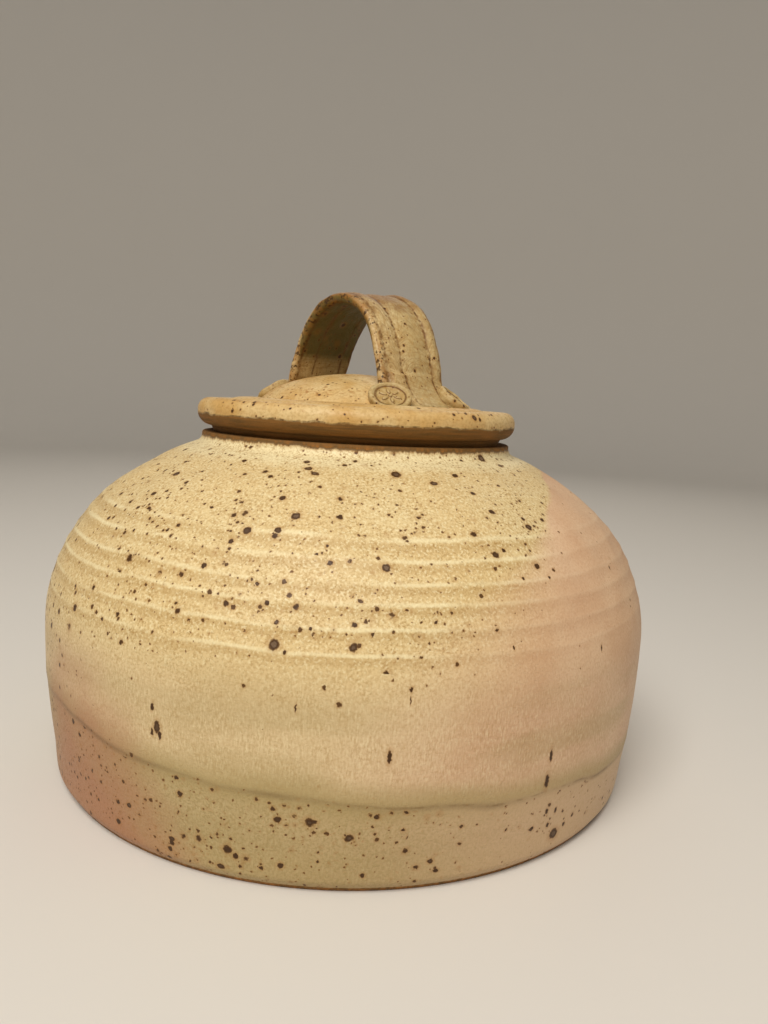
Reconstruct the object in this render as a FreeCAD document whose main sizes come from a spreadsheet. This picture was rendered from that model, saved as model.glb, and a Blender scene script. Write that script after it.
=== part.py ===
import FreeCAD, Part
import enum
import math
import os
import types

import Sketcher

# A thrown stoneware bean pot with a flanged lid, in millimetres.
#
# The pot stands on its foot ring: the origin is the centre of the ring's resting
# plane and +Z is up. The lid sits on the flat rim of the neck and lifts straight off.
# A pulled clay strap arches over the lid along X, and four pressed clay pads, one at
# each corner of the strap's two feet, hold it to the lid.

SIZES = {
    # the pot's outer form
    "belly_radius": 120.0,  # widest radius
    "belly_height": 58.4,  # widest level above the table
    "wall_lean": 4.4,  # how far the wall draws in from the belly down to the foot
    "foot_bevel_width": 2.3,  # trimmed bevel round the foot
    "foot_bevel_height": 3.6,
    "shoulder_radius": 62.2,  # round of the shoulder above the belly
    "shoulder_turn": 48.0,  # degrees that the shoulder turns through
    "flank_radius": 100.0,  # flatter round from the shoulder to the neck
    "neck_radius": 62.6,
    "neck_fillet": 3.4,  # hollow round where the flank turns up into the rim
    "rim_band": 1.3,  # upright band above it
    "rim_round": 0.9,
    # the pot's inside and its foot
    "pot_wall": 7.0,
    "pot_floor": 9.0,
    "floor_corner": 16.0,  # inside round between floor and wall
    "rim_width": 9.1,  # from the neck's outside in to the mouth
    "foot_ring_width": 12.0,
    "foot_recess": 2.0,
    # throwing rings on the shoulder
    "ring_first_turn": 11.1,  # degrees above the belly
    "ring_pitch_turn": 6.7,  # degrees from one ring to the next
    "ring_depth": 0.4,
    "ring_crest": 0.9,  # flat left between two rings
    # the lid
    "lid_clearance": 1.5,  # between the lid's collar and the mouth
    "collar_drop": 10.0,  # how far the lid's collar reaches into the mouth
    "collar_wall": 6.0,
    "seat_width": 4.5,  # flat ring of the lid that rests on the rim
    "flange_overhang": 1.8,  # how far the lid stands out past the neck
    "flange_gap": 2.3,  # gap over the outer edge of the rim
    "flange_thick": 10.6,
    "flange_low_round": 5.2,
    "flange_top_round": 4.4,
    "lid_groove_inset": 9.8,  # from the lid's edge in to the middle of the groove
    "lid_groove_width": 6.0,
    "lid_groove_depth": 1.2,
    "lid_shelf_rise": 1.0,  # soft crown of the shelf inside the groove
    "dome_radius": 40.35,  # where the dome meets the shelf
    "dome_rise": 12.4,
    "dome_crown_turn": 15.7,  # degrees that the flat crown turns through on each side
    "dome_edge_radius": 26.5,  # rounder edge between the crown and the shelf
    "dome_fillet": 4.0,  # hollow round at the dome's foot
    "lid_wall": 6.5,
    # the strap handle
    "strap_offset": 2.2,  # the hand-set strap stands off the lid's middle
    "strap_width": 32.6,
    "strap_thick": 4.4,
    "strap_tilt": 4.2,  # degrees that the back edge of the arch stands out past the front
    "strap_groove_front": 5.2,  # finger grooves, from the strap's middle
    "strap_groove_back": 9.6,
    "strap_groove_depth": 0.7,
    "strap_inset": 11.55,  # from the dome's foot in to the middle of the strap
    "arch_rise": 42.8,  # from the shelf of the lid to the middle of the strap
    "arch_crown_radius": 24.0,
    "foot_flare_height": 10.5,  # the smeared foot begins this far above the shelf
    "foot_flare_out": 5.5,  # and runs out this far past the strap
    "foot_flare_half": 12.0,  # half its width where it meets the lid
    "foot_flare_corner": 6.0,
    "foot_flare_sink": 0.6,  # how far its top edge stays inside the strap
    # the pads at the strap's feet
    "pad_radius": 8.3,
    "pad_thick": 7.5,
    "pad_rim": 1.1,  # round of the rolled rim
    "pad_recess": 1.0,
    "pad_out": 4.3,  # place of a pad's middle outside the strap's face
    "pad_across": 1.2,  # and past its edge
    "pad_height": 5.9,  # and above the shelf
    "pad_tilt": 36.0,  # degrees that a pad leans out
    "pad_turn": 45.0,  # degrees from the span to the way it faces
}

RING_COUNT = 6
NEAR = 0.01  # how near an edge lies to where it is looked for
FULL_TURN = 360.0
SHEET_NAME = "Sizes"


class Dim:
    """A size as its number and as the sheet expression that keeps it live."""

    def __init__(self, number, text):
        self.number = number
        self.text = text

    def __add__(self, other):
        other = as_dim(other)
        return Dim(self.number + other.number, f"({self.text} + {other.text})")

    def __sub__(self, other):
        other = as_dim(other)
        return Dim(self.number - other.number, f"({self.text} - {other.text})")

    def __mul__(self, other):
        other = as_dim(other)
        return Dim(self.number * other.number, f"({self.text} * {other.text})")

    def __truediv__(self, other):
        other = as_dim(other)
        return Dim(self.number / other.number, f"({self.text} / {other.text})")

    def __neg__(self):
        return Dim(-self.number, f"(-{self.text})")

    def __abs__(self):
        return Dim(abs(self.number), f"abs({self.text})")


def as_dim(value):
    """A Dim as it is, or a plain number as a Dim."""
    return value if isinstance(value, Dim) else Dim(float(value), f"({float(value)})")


def sine(angle):
    return Dim(math.sin(math.radians(angle.number)), f"sin({angle.text})")


def cosine(angle):
    return Dim(math.cos(math.radians(angle.number)), f"cos({angle.text})")


def root(value):
    return Dim(math.sqrt(value.number), f"sqrt({value.text})")


def leg(hypotenuse, other):
    """The other short side of a right-angled triangle."""
    return root(hypotenuse * hypotenuse - other * other)


def bow(start, end, rise):
    """Radius of the arc between two points that stands this far off their chord."""
    along = end[0] - start[0]
    up = end[1] - start[1]
    return ((along * along + up * up) / 4 + rise * rise) / (rise * 2)


ZERO = Dim(0.0, "0")
ONE = Dim(1.0, "1")

size = types.SimpleNamespace(
    **{name: Dim(value, f"{SHEET_NAME}.{name}") for name, value in SIZES.items()}
)


def write_sheet(doc):
    """Puts every driving size in the sheet, under its own name."""
    sheet = doc.addObject("Spreadsheet::Sheet", SHEET_NAME)
    for row, (name, value) in enumerate(SIZES.items(), 1):
        sheet.set(f"A{row}", name)
        sheet.set(f"B{row}", str(value))
        sheet.setAlias(f"B{row}", name)
    doc.recompute()


# ---- sketches -----------------------------------------------------------------------


class Place(enum.IntEnum):
    """Which point of a sketched curve a constraint holds."""

    START = 1
    END = 2
    CENTRE = 3


ORIGIN_POINT = (-1, Place.START)


def plane_of(body, role):
    return next(item for item in body.Origin.OriginFeatures if item.Role == role)


def new_sketch(body, role, name):
    """An empty sketch on one of the body's own origin planes."""
    sketch = body.newObject("Sketcher::SketchObject", name)
    sketch.AttachmentSupport = [(plane_of(body, role), "")]
    sketch.MapMode = "FlatFace"
    return sketch


def bind(thing, name, value):
    thing.setExpression(name, value.text)


def constrain(sketch, kind, value, *places):
    """Adds a constraint whose value stays tied to the sheet."""
    number = sketch.addConstraint(Sketcher.Constraint(kind, *places, value.number))
    sketch.setExpression(f"Constraints[{number}]", value.text)


def pin(sketch, curve, end, point):
    constrain(sketch, "DistanceX", point[0], *ORIGIN_POINT, curve, end)
    constrain(sketch, "DistanceY", point[1], *ORIGIN_POINT, curve, end)


def flat(point):
    return FreeCAD.Vector(point[0].number, point[1].number, 0)


def add_stretch(sketch, start, end, radius):
    """Draws a line, or an arc that turns left (radius above 0) or right (below 0)."""
    first, last = flat(start), flat(end)
    if radius is None:
        return sketch.addGeometry(Part.LineSegment(first, last)), Place.START, Place.END
    chord = last - first
    left = FreeCAD.Vector(-chord.y, chord.x, 0).normalize()
    side = math.copysign(1, radius.number)
    reach = math.sqrt(max(radius.number**2 - (chord.Length / 2) ** 2, 0))
    centre = (first + last) * 0.5 + left * (side * reach)
    circle = Part.Circle(centre, FreeCAD.Vector(0, 0, 1), abs(radius.number))
    turn_of = [math.atan2(point.y - centre.y, point.x - centre.x) for point in (first, last)]
    if side > 0:
        curve = sketch.addGeometry(Part.ArcOfCircle(circle, *turn_of))
        ends = Place.START, Place.END
    else:
        curve = sketch.addGeometry(Part.ArcOfCircle(circle, *reversed(turn_of)))
        ends = Place.END, Place.START
    constrain(sketch, "Radius", abs(radius), curve)
    return curve, *ends


def draw(sketch, corners, closed=True):
    """Draws a wire through (x, y, radius) corners; a radius bends the stretch after it."""
    following = corners[1:] + corners[:1] if closed else corners[1:]
    stretches = [
        (start, *add_stretch(sketch, start, end, start[2]))
        for start, end in zip(corners, following)
    ]
    for start, curve, first, _ in stretches:
        pin(sketch, curve, first, start)
    joints = list(zip(stretches, stretches[1:]))
    if closed:
        joints.append((stretches[-1], stretches[0]))
    else:
        _, curve, _, last = stretches[-1]
        pin(sketch, curve, last, corners[-1])
    for (_, curve, _, last), (_, next_curve, next_first, _) in joints:
        sketch.addConstraint(Sketcher.Constraint("Coincident", curve, last, next_curve, next_first))


# ---- features -----------------------------------------------------------------------


def turned(body, kind, name, corners):
    """A Revolution or a Groove of a closed outline about Z."""
    sketch = new_sketch(body, "XZ_Plane", f"{name}Outline")
    draw(sketch, corners)
    feature = body.newObject(f"PartDesign::{kind}", name)
    feature.Profile = sketch
    feature.ReferenceAxis = (sketch, ["V_Axis"])
    feature.Angle = FULL_TURN
    body.Document.recompute()
    return feature


def round_edges(body, name, radius, *circles):
    """Fillets the round edges found at (radius, height) places."""
    base = body.Tip
    names = []
    for ring_radius, height in circles:
        found = [
            f"Edge{number}"
            for number, edge in enumerate(base.Shape.Edges, 1)
            if not edge.Degenerated
            and isinstance(edge.Curve, Part.Circle)
            and abs(edge.Curve.Radius - ring_radius.number) < NEAR
            and abs(edge.Curve.Center.z - height.number) < NEAR
        ]
        if not found:
            raise RuntimeError(f"{name}: no edge at {ring_radius.number}, {height.number}")
        names += found
    feature = body.newObject("PartDesign::Fillet", name)
    feature.Base = (base, names)
    bind(feature, "Radius", radius)
    body.Document.recompute()
    return feature


def new_body(doc, name, label):
    body = doc.addObject("PartDesign::Body", name)
    body.Label = label
    return body


# ---- the pot ------------------------------------------------------------------------


def pot_levels():
    """Points and arcs of the pot's outer form that other outlines use again."""
    wall_foot = (size.belly_radius - size.wall_lean, size.foot_bevel_height)
    drop = size.belly_height - size.foot_bevel_height
    wall_radius = (size.wall_lean * size.wall_lean + drop * drop) / (size.wall_lean * 2)
    shoulder_x = size.belly_radius - size.shoulder_radius
    sunk = size.flank_radius - size.shoulder_radius
    flank_x = shoulder_x - sunk * cosine(size.shoulder_turn)
    flank_z = size.belly_height - sunk * sine(size.shoulder_turn)
    sweep_x = size.neck_radius + size.neck_fillet
    swept = size.flank_radius + size.neck_fillet
    band_z = flank_z + leg(swept, sweep_x - flank_x)
    share = size.flank_radius / swept
    return types.SimpleNamespace(
        wall_foot=wall_foot,
        wall_radius=wall_radius,
        wall_x=size.belly_radius - wall_radius,
        shoulder_x=shoulder_x,
        flank_x=flank_x,
        flank_z=flank_z,
        mouth_radius=size.neck_radius - size.rim_width,
        sweep_start=(flank_x + (sweep_x - flank_x) * share, flank_z + (band_z - flank_z) * share),
        band_z=band_z,
        rim_z=band_z + size.rim_band,
    )


def on_shoulder(level, radius, turn):
    """The point on a round about the shoulder's centre, so many degrees above the belly."""
    return (level.shoulder_x + radius * cosine(turn), size.belly_height + radius * sine(turn))


def pot_form(level):
    """The pot as a solid, from the foot to the rim."""
    shoulder_end = on_shoulder(level, size.shoulder_radius, size.shoulder_turn)
    return [
        (ZERO, ZERO, None),
        (level.wall_foot[0] - size.foot_bevel_width, ZERO, None),
        (*level.wall_foot, level.wall_radius),
        (size.belly_radius, size.belly_height, size.shoulder_radius),
        (*shoulder_end, size.flank_radius),
        (*level.sweep_start, -size.neck_fillet),
        (size.neck_radius, level.band_z, None),
        (size.neck_radius, level.rim_z, None),
        (ZERO, level.rim_z, None),
    ]


def pot_hollow(level):
    """The space inside, one wall in from the outer form, and the mouth above it."""
    wall = level.wall_radius - size.pot_wall
    shoulder = size.shoulder_radius - size.pot_wall
    flank = size.flank_radius - size.pot_wall
    floor_x = level.wall_x + leg(wall, size.belly_height - size.pot_floor)
    mouth_z = level.flank_z + leg(flank, level.mouth_radius - level.flank_x)
    above_rim = level.rim_z + size.rim_band
    return [
        (ZERO, size.pot_floor, None),
        (floor_x, size.pot_floor, wall),
        (size.belly_radius - size.pot_wall, size.belly_height, shoulder),
        (*on_shoulder(level, shoulder, size.shoulder_turn), flank),
        (level.mouth_radius, mouth_z, None),
        (level.mouth_radius, above_rim, None),
        (ZERO, above_rim, None),
    ]


def throwing_rings(body, level):
    """Shallow valleys left by the fingers, one above the other round the shoulder."""
    sketch = new_sketch(body, "XZ_Plane", "ThrowingRingsOutline")
    crest_turn = size.ring_crest / size.shoulder_radius * (FULL_TURN / math.tau)
    half_turn = (size.ring_pitch_turn - crest_turn) / 2
    chord_drop = size.shoulder_radius * (ONE - cosine(half_turn))
    for number in range(RING_COUNT):
        middle = size.ring_first_turn + size.ring_pitch_turn * number
        low = on_shoulder(level, size.shoulder_radius, middle - half_turn)
        high = on_shoulder(level, size.shoulder_radius, middle + half_turn)
        valley = bow(low, high, size.ring_depth - chord_drop)
        draw(sketch, [(*low, size.shoulder_radius / 2), (*high, valley)])
    feature = body.newObject("PartDesign::Groove", "ThrowingRings")
    feature.Profile = sketch
    feature.ReferenceAxis = (sketch, ["V_Axis"])
    feature.Angle = FULL_TURN
    body.Document.recompute()
    return feature


def build_pot(doc, level):
    body = new_body(doc, "Pot", "pot_body")
    turned(body, "Revolution", "PotForm", pot_form(level))
    throwing_rings(body, level)
    turned(body, "Groove", "PotHollow", pot_hollow(level))
    floor_corner = pot_hollow(level)[1]
    round_edges(body, "FloorCorner", size.floor_corner, floor_corner[:2])
    round_edges(
        body,
        "RimRound",
        size.rim_round,
        (size.neck_radius, level.rim_z),
        (level.mouth_radius, level.rim_z),
    )
    recess = new_sketch(body, "XY_Plane", "FootRecessOutline")
    circle = Part.Circle(FreeCAD.Vector(), FreeCAD.Vector(0, 0, 1), 1)
    ring_inside = level.wall_foot[0] - size.foot_bevel_width - size.foot_ring_width
    recess.addGeometry(circle)
    recess.addConstraint(Sketcher.Constraint("Coincident", 0, Place.CENTRE, *ORIGIN_POINT))
    constrain(recess, "Radius", ring_inside, 0)
    pocket = body.newObject("PartDesign::Pocket", "FootRecess")
    pocket.Profile = recess
    pocket.Reversed = True
    bind(pocket, "Length", size.foot_recess)
    doc.recompute()
    return body


# ---- the lid ------------------------------------------------------------------------


def crown_apart(turn):
    """How far apart the centres of the dome's crown and its edge lie, so that the two
    rounds meet smoothly and the dome has its stated rise and radius."""
    sag = ONE - cosine(turn)
    edge = size.dome_edge_radius
    lean = size.dome_radius * sine(turn) + (size.dome_rise - edge) * sag
    reach = size.dome_radius * size.dome_radius + size.dome_rise * (size.dome_rise - edge * 2)
    return (lean - root(lean * lean - sag * 2 * reach)) / (sag * 2)


def lid_levels(pot):
    """Points and arcs of the lid that its own inside, the strap and the pads use again."""
    top_z = pot.rim_z + size.flange_gap + size.flange_thick
    apex_z = top_z + size.dome_rise
    turn = size.dome_crown_turn
    apart = crown_apart(turn)
    crown_z = apex_z - size.dome_edge_radius - apart
    return types.SimpleNamespace(
        rim_z=pot.rim_z,
        top_z=top_z,
        apex_z=apex_z,
        crown_z=crown_z,
        crown_radius=size.dome_edge_radius + apart,
        edge_x=apart * sine(turn),
        edge_z=crown_z + apart * cosine(turn),
        mouth_radius=pot.mouth_radius,
        collar_radius=pot.mouth_radius - size.lid_clearance,
        collar_z=pot.rim_z - size.collar_drop,
        flange_radius=size.neck_radius + size.flange_overhang,
        arch_half_span=size.dome_radius - size.strap_inset,
    )


def on_crown(level, radius):
    """Where the dome's flat crown passes into its rounder edge."""
    turn = size.dome_crown_turn
    return (radius * sine(turn), level.crown_z + radius * cosine(turn))


def lid_form(level):
    """The lid as a solid, with its collar still filled."""
    seat_x = level.mouth_radius + size.seat_width
    under_z = level.rim_z + size.flange_gap
    edge_x = level.flange_radius
    groove_x = edge_x - size.lid_groove_inset
    groove_out = (groove_x + size.lid_groove_width / 2, level.top_z)
    groove_in = (groove_x - size.lid_groove_width / 2, level.top_z)
    dome_foot = (size.dome_radius, level.top_z)
    return [
        (ZERO, level.collar_z, None),
        (level.collar_radius, level.collar_z, None),
        (level.collar_radius, level.rim_z, None),
        (seat_x, level.rim_z, None),
        (edge_x - size.flange_low_round, under_z, size.flange_low_round),
        (edge_x, under_z + size.flange_low_round, None),
        (edge_x, level.top_z - size.flange_top_round, size.flange_top_round),
        (edge_x - size.flange_top_round, level.top_z, None),
        (*groove_out, -bow(groove_out, groove_in, size.lid_groove_depth)),
        (*groove_in, bow(groove_in, dome_foot, size.lid_shelf_rise)),
        (*dome_foot, size.dome_edge_radius),
        (*on_crown(level, level.crown_radius), level.crown_radius),
        (ZERO, level.apex_z, None),
    ]


def lid_hollow(level):
    """The space inside the collar and under the dome."""
    inside = level.collar_radius - size.collar_wall
    below = level.collar_z - size.collar_drop
    ceiling = level.top_z - size.lid_wall
    edge = size.dome_edge_radius - size.lid_wall
    crown = level.crown_radius - size.lid_wall
    return [
        (ZERO, below, None),
        (inside, below, None),
        (inside, ceiling, None),
        (level.edge_x + leg(edge, ceiling - level.edge_z), ceiling, edge),
        (*on_crown(level, crown), crown),
        (ZERO, level.apex_z - size.lid_wall, None),
    ]


def build_lid(doc, level):
    """The lid, and its outer form before it is hollowed, which the strap sits on."""
    body = new_body(doc, "Lid", "lid")
    turned(body, "Revolution", "LidForm", lid_form(level))
    outer = round_edges(body, "DomeFillet", size.dome_fillet, (size.dome_radius, level.top_z))
    turned(body, "Groove", "LidHollow", lid_hollow(level))
    return body, outer


# ---- the strap handle ---------------------------------------------------------------


def swung(point, middle, turn):
    """A point of a section after it swings about the section's middle."""
    along, up = point[0] - middle[0], point[1] - middle[1]
    return (
        middle[0] + along * cosine(turn) - up * sine(turn),
        middle[1] + along * sine(turn) + up * cosine(turn),
    )


def arch_points(level):
    """The half of the arch from its top down to the lid, as two rounds."""
    span = level.arch_half_span
    foot = (span, level.top_z)
    top = (ZERO, level.top_z + size.arch_rise)
    crown = size.arch_crown_radius
    up = size.arch_rise - crown
    side = (span * span + up * up - crown * crown) / ((span - crown) * 2)
    reach = side / (side - crown)
    knee = (span - side + (side - span) * reach, level.top_z + up * reach)
    return top, knee, foot, crown, side


def strap_section(level):
    """The strap across its width: three soft panels between two finger grooves."""
    centre = size.strap_offset
    middle = level.top_z + size.arch_rise
    half = size.strap_thick / 2
    low = middle - half
    high = middle + half
    valley = high - size.strap_groove_depth
    edge = size.strap_width / 2 - half
    rise = size.strap_groove_depth
    front = (centre - size.strap_groove_front, valley)
    back = (centre + size.strap_groove_back, valley)
    left = (centre - edge, high)
    right = (centre + edge, high)
    flat_section = [
        (centre - edge, low, None),
        (centre + edge, low, half),
        (centre + edge + half, middle, half),
        (*right, bow(right, back, rise)),
        (*back, bow(back, front, rise)),
        (*front, bow(front, left, rise)),
        (*left, half),
        (centre - edge - half, middle, half),
    ]
    return [
        (*swung(corner, (centre, middle), size.strap_tilt), corner[2]) for corner in flat_section
    ]


def flare_section(level, high_x, half_width, corner):
    """One level of the smeared foot: a plate with rounded corners, seen from above."""
    centre = size.strap_offset
    low_x = level.arch_half_span
    plate = [
        (low_x, centre - half_width, None),
        (high_x - corner, centre - half_width, corner),
        (high_x, centre - half_width + corner, None),
        (high_x, centre + half_width - corner, corner),
        (high_x - corner, centre + half_width, None),
        (low_x, centre + half_width, None),
    ]
    return [(*swung(point, (low_x, centre), -size.strap_tilt), point[2]) for point in plate]


def build_strap(doc, level, lid_outer):
    body = new_body(doc, "StrapForm", "strap_form")
    top, knee, foot, crown, side = arch_points(level)
    path = new_sketch(body, "XZ_Plane", "ArchPath")
    draw(path, [(*top, -crown), (*knee, -side), (*foot, None)], closed=False)
    section = new_sketch(body, "YZ_Plane", "StrapSection")
    draw(section, strap_section(level))
    arch = body.newObject("PartDesign::AdditivePipe", "HalfArch")
    arch.Profile = section
    arch.Spine = path
    doc.recompute()
    half = size.strap_thick / 2
    sink = size.foot_flare_sink
    outer_x = level.arch_half_span + half
    low = new_sketch(body, "XY_Plane", "FlareFoot")
    bind(low, "AttachmentOffset.Base.z", level.top_z)
    spread_x = outer_x + size.foot_flare_out
    draw(low, flare_section(level, spread_x, size.foot_flare_half, size.foot_flare_corner))
    high = new_sketch(body, "XY_Plane", "FlareTop")
    bind(high, "AttachmentOffset.Base.z", level.top_z + size.foot_flare_height)
    half_width = size.strap_width / 2 - sink
    draw(high, flare_section(level, outer_x - sink, half_width, half - sink * 2))
    flare = body.newObject("PartDesign::AdditiveLoft", "FootFlare")
    flare.Profile = low
    flare.Sections = [high]
    doc.recompute()
    mirror = body.newObject("PartDesign::Mirrored", "WholeArch")
    mirror.Originals = [arch, flare]
    mirror.MirrorPlane = (plane_of(body, "YZ_Plane"), [""])
    body.Tip = mirror
    doc.recompute()
    strap = doc.addObject("Part::Cut", "Strap")
    strap.Label = "strap_handle"
    strap.Base = body
    strap.Tool = lid_outer
    doc.recompute()
    return strap


# ---- the pads -----------------------------------------------------------------------


def pad_outline():
    """Half of a pad's section: a disc with a rolled rim round a shallow recess."""
    radius, rim = size.pad_radius, size.pad_rim
    return [
        (ZERO, -size.pad_thick, None),
        (radius, -size.pad_thick, None),
        (radius, -rim, rim),
        (radius - rim, ZERO, rim),
        (radius - rim * 2, -rim, None),
        (radius - rim * 2, -size.pad_recess, None),
        (ZERO, -size.pad_recess, None),
    ]


def build_pad(doc, name, x_side, y_side, level, under):
    """One pad, pressed on at a corner of the strap and trimmed by what is under it."""
    plain = name.replace("_", " ").title().replace(" ", "")
    body = new_body(doc, f"{plain}Form", f"{name}_form")
    turned(body, "Revolution", f"{plain}Disc", pad_outline())
    turn = size.pad_turn
    face_x = level.arch_half_span + size.strap_thick / 2
    edge_y = size.strap_width / 2
    bind(body, "Placement.Base.x", (face_x + size.pad_out) * x_side)
    bind(body, "Placement.Base.y", size.strap_offset + (edge_y + size.pad_across) * y_side)
    bind(body, "Placement.Base.z", level.top_z + size.pad_height)
    bind(body, "Placement.Rotation.Axis.x", -sine(turn) * y_side)
    bind(body, "Placement.Rotation.Axis.y", cosine(turn) * x_side)
    bind(body, "Placement.Rotation.Axis.z", ZERO)
    bind(body, "Placement.Rotation.Angle", size.pad_tilt)
    pad = doc.addObject("Part::Cut", plain)
    pad.Label = name
    pad.Base = body
    pad.Tool = under
    doc.recompute()
    return pad


def build_pads(doc, level, lid_outer, strap):
    under = doc.addObject("Part::Fuse", "UnderPads")
    under.Base = lid_outer
    under.Tool = strap
    doc.recompute()
    corners = {"right": 1, "left": -1}
    sides = {"front": -1, "back": 1}
    return [
        build_pad(doc, f"handle_pad_{end}_{face}", x_side, y_side, level, under)
        for end, x_side in corners.items()
        for face, y_side in sides.items()
    ]


# ---- the whole ----------------------------------------------------------------------


def check(doc, sub_parts):
    """Stops when any feature failed or any sub-part isn't one sound solid."""
    for item in doc.Objects:
        failed = "Invalid" in item.State or "Error" in item.State
        if failed or (item.isDerivedFrom("PartDesign::Feature") and item.Shape.isNull()):
            raise RuntimeError(f"{item.Label}: {item.State}")
    for item in sub_parts:
        shape = item.Shape
        if shape.isNull() or not shape.isValid() or len(shape.Solids) != 1:
            raise RuntimeError(f"{item.Label}: not one valid solid")


def main():
    doc = FreeCAD.newDocument("BeanPot")
    write_sheet(doc)
    pot_level = pot_levels()
    lid_level = lid_levels(pot_level)
    pot = build_pot(doc, pot_level)
    lid, lid_outer = build_lid(doc, lid_level)
    strap = build_strap(doc, lid_level, lid_outer)
    pads = build_pads(doc, lid_level, lid_outer, strap)
    sub_parts = [pot, lid, strap, *pads]
    check(doc, sub_parts)
    os.makedirs("parts", exist_ok=True)
    for item in sub_parts:
        item.Shape.exportStep(f"parts/{item.Label}.step")
        box = item.Shape.BoundBox
        print(f"{item.Label}: {item.Shape.Volume / 1000:.1f} cm3, z {box.ZMin:.1f} to {box.ZMax:.1f}")


main()
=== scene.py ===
import math
from functools import partialmethod

import bpy
from mathutils import Matrix, Vector


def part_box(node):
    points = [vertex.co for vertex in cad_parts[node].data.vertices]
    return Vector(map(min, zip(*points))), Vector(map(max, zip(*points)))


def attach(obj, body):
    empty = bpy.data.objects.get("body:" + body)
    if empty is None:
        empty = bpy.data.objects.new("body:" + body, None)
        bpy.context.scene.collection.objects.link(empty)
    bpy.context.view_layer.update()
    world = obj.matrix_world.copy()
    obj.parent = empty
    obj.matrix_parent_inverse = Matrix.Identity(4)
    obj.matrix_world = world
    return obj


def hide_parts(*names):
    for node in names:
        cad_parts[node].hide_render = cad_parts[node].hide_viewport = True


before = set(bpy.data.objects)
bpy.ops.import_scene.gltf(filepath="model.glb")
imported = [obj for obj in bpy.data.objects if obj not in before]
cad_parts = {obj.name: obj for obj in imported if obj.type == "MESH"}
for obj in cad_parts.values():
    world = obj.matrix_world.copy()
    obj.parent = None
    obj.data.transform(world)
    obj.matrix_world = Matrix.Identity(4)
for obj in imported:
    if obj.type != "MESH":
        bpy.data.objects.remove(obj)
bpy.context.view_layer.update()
POT_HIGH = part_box("pot_body")[1]
LID_LOW, LID_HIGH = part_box("lid")
STRAP_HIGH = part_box("strap_handle")[1]

bl_info = {
    "name": "Stoneware bean pot",
    "version": (1, 0, 0),
    "blender": (4, 5, 0),
    "location": "View3D > Sidebar > Bean pot",
    "description": "Builds a thrown stoneware bean pot with a lid and a strap handle",
    "category": "Add Mesh",
}

MM = 0.001
WELD = 0.00001  # points nearer than this are one
SMOOTH_ANGLE = math.radians(60)
UP = Vector((0, 0, 1))
FRONT = math.radians(49.5)  # the way the pot is seen from, turned from -Y
ACROSS = Vector((math.cos(FRONT), math.sin(FRONT), 0))  # to the right as it is seen
TOWARD = Vector((math.sin(FRONT), -math.cos(FRONT), 0))  # out to the viewer


# ---- what a user may change ----------------------------------------------------------


def length(name, description, size, unit=MM):
    """A size in millimetres, or in metres where the unit is 1."""
    return bpy.props.FloatProperty(
        name=name, description=description, default=size * unit, min=0, unit="LENGTH", precision=5)


def turn(name, description, degrees):
    """An angle."""
    return bpy.props.FloatProperty(
        name=name, description=description, default=math.radians(degrees), subtype="ANGLE")


def colour(name, description, code):
    """A colour, written as its six-figure code."""
    return bpy.props.FloatVectorProperty(
        name=name, description=description, default=linear(code), size=4, subtype="COLOR")


def linear(code):
    """The linear colour of a six-figure code."""
    parts = [int(code[at : at + 2], 16) / 255 for at in (0, 2, 4)]
    parts = [p / 12.92 if p < 0.04045 else ((p + 0.055) / 1.055) ** 2.4 for p in parts]
    return (*parts, 1.0)


class BeanPotForm(bpy.types.PropertyGroup):
    """Sizes of the pot, from its foot to its rim."""

    belly_radius: length("Belly radius", "Widest radius of the pot", POT_HIGH.x, 1)
    rim_height: length("Rim height", "Height of the rim above the table", POT_HIGH.z, 1)
    belly_height: length("Belly height", "Level of the widest part", 58.4)
    wall_lean: length("Wall lean", "How far the wall draws in down to the foot", 4.4)
    bevel_width: length("Foot bevel width", "Width of the trimmed bevel round the foot", 2.3)
    bevel_height: length("Foot bevel height", "Height of the trimmed bevel round the foot", 3.6)
    shoulder_radius: length("Shoulder round", "Round above the belly", 62.2)
    shoulder_turn: turn("Shoulder turn", "Angle that the shoulder turns through", 48)
    flank_radius: length("Flank round", "Flatter round up to the neck", 100)
    neck_radius: length("Neck radius", "Outside of the rim", 62.6)
    neck_fillet: length("Neck hollow", "Hollow round under the rim", 3.4)
    rim_round: length("Rim round", "Round of the rim's edges", 0.9)
    rim_width: length("Rim width", "From the neck in to the mouth", 9.1)
    wall: length("Wall", "Thickness of the wall", 7)
    floor: length("Floor", "Height of the inside floor", 9)
    floor_corner: length("Floor corner", "Round between floor and wall", 16)
    ring_width: length("Foot ring width", "Width of the ring it stands on", 12)
    recess: length("Foot recess", "How far the base is trimmed up inside the ring", 2)
    ring_depth: length("Throwing ring depth", "Depth between two throwing rings", 0.42)
    glaze_roll: length("Glaze roll", "Thickness of the glaze where one coat ends", 0.24)


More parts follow.
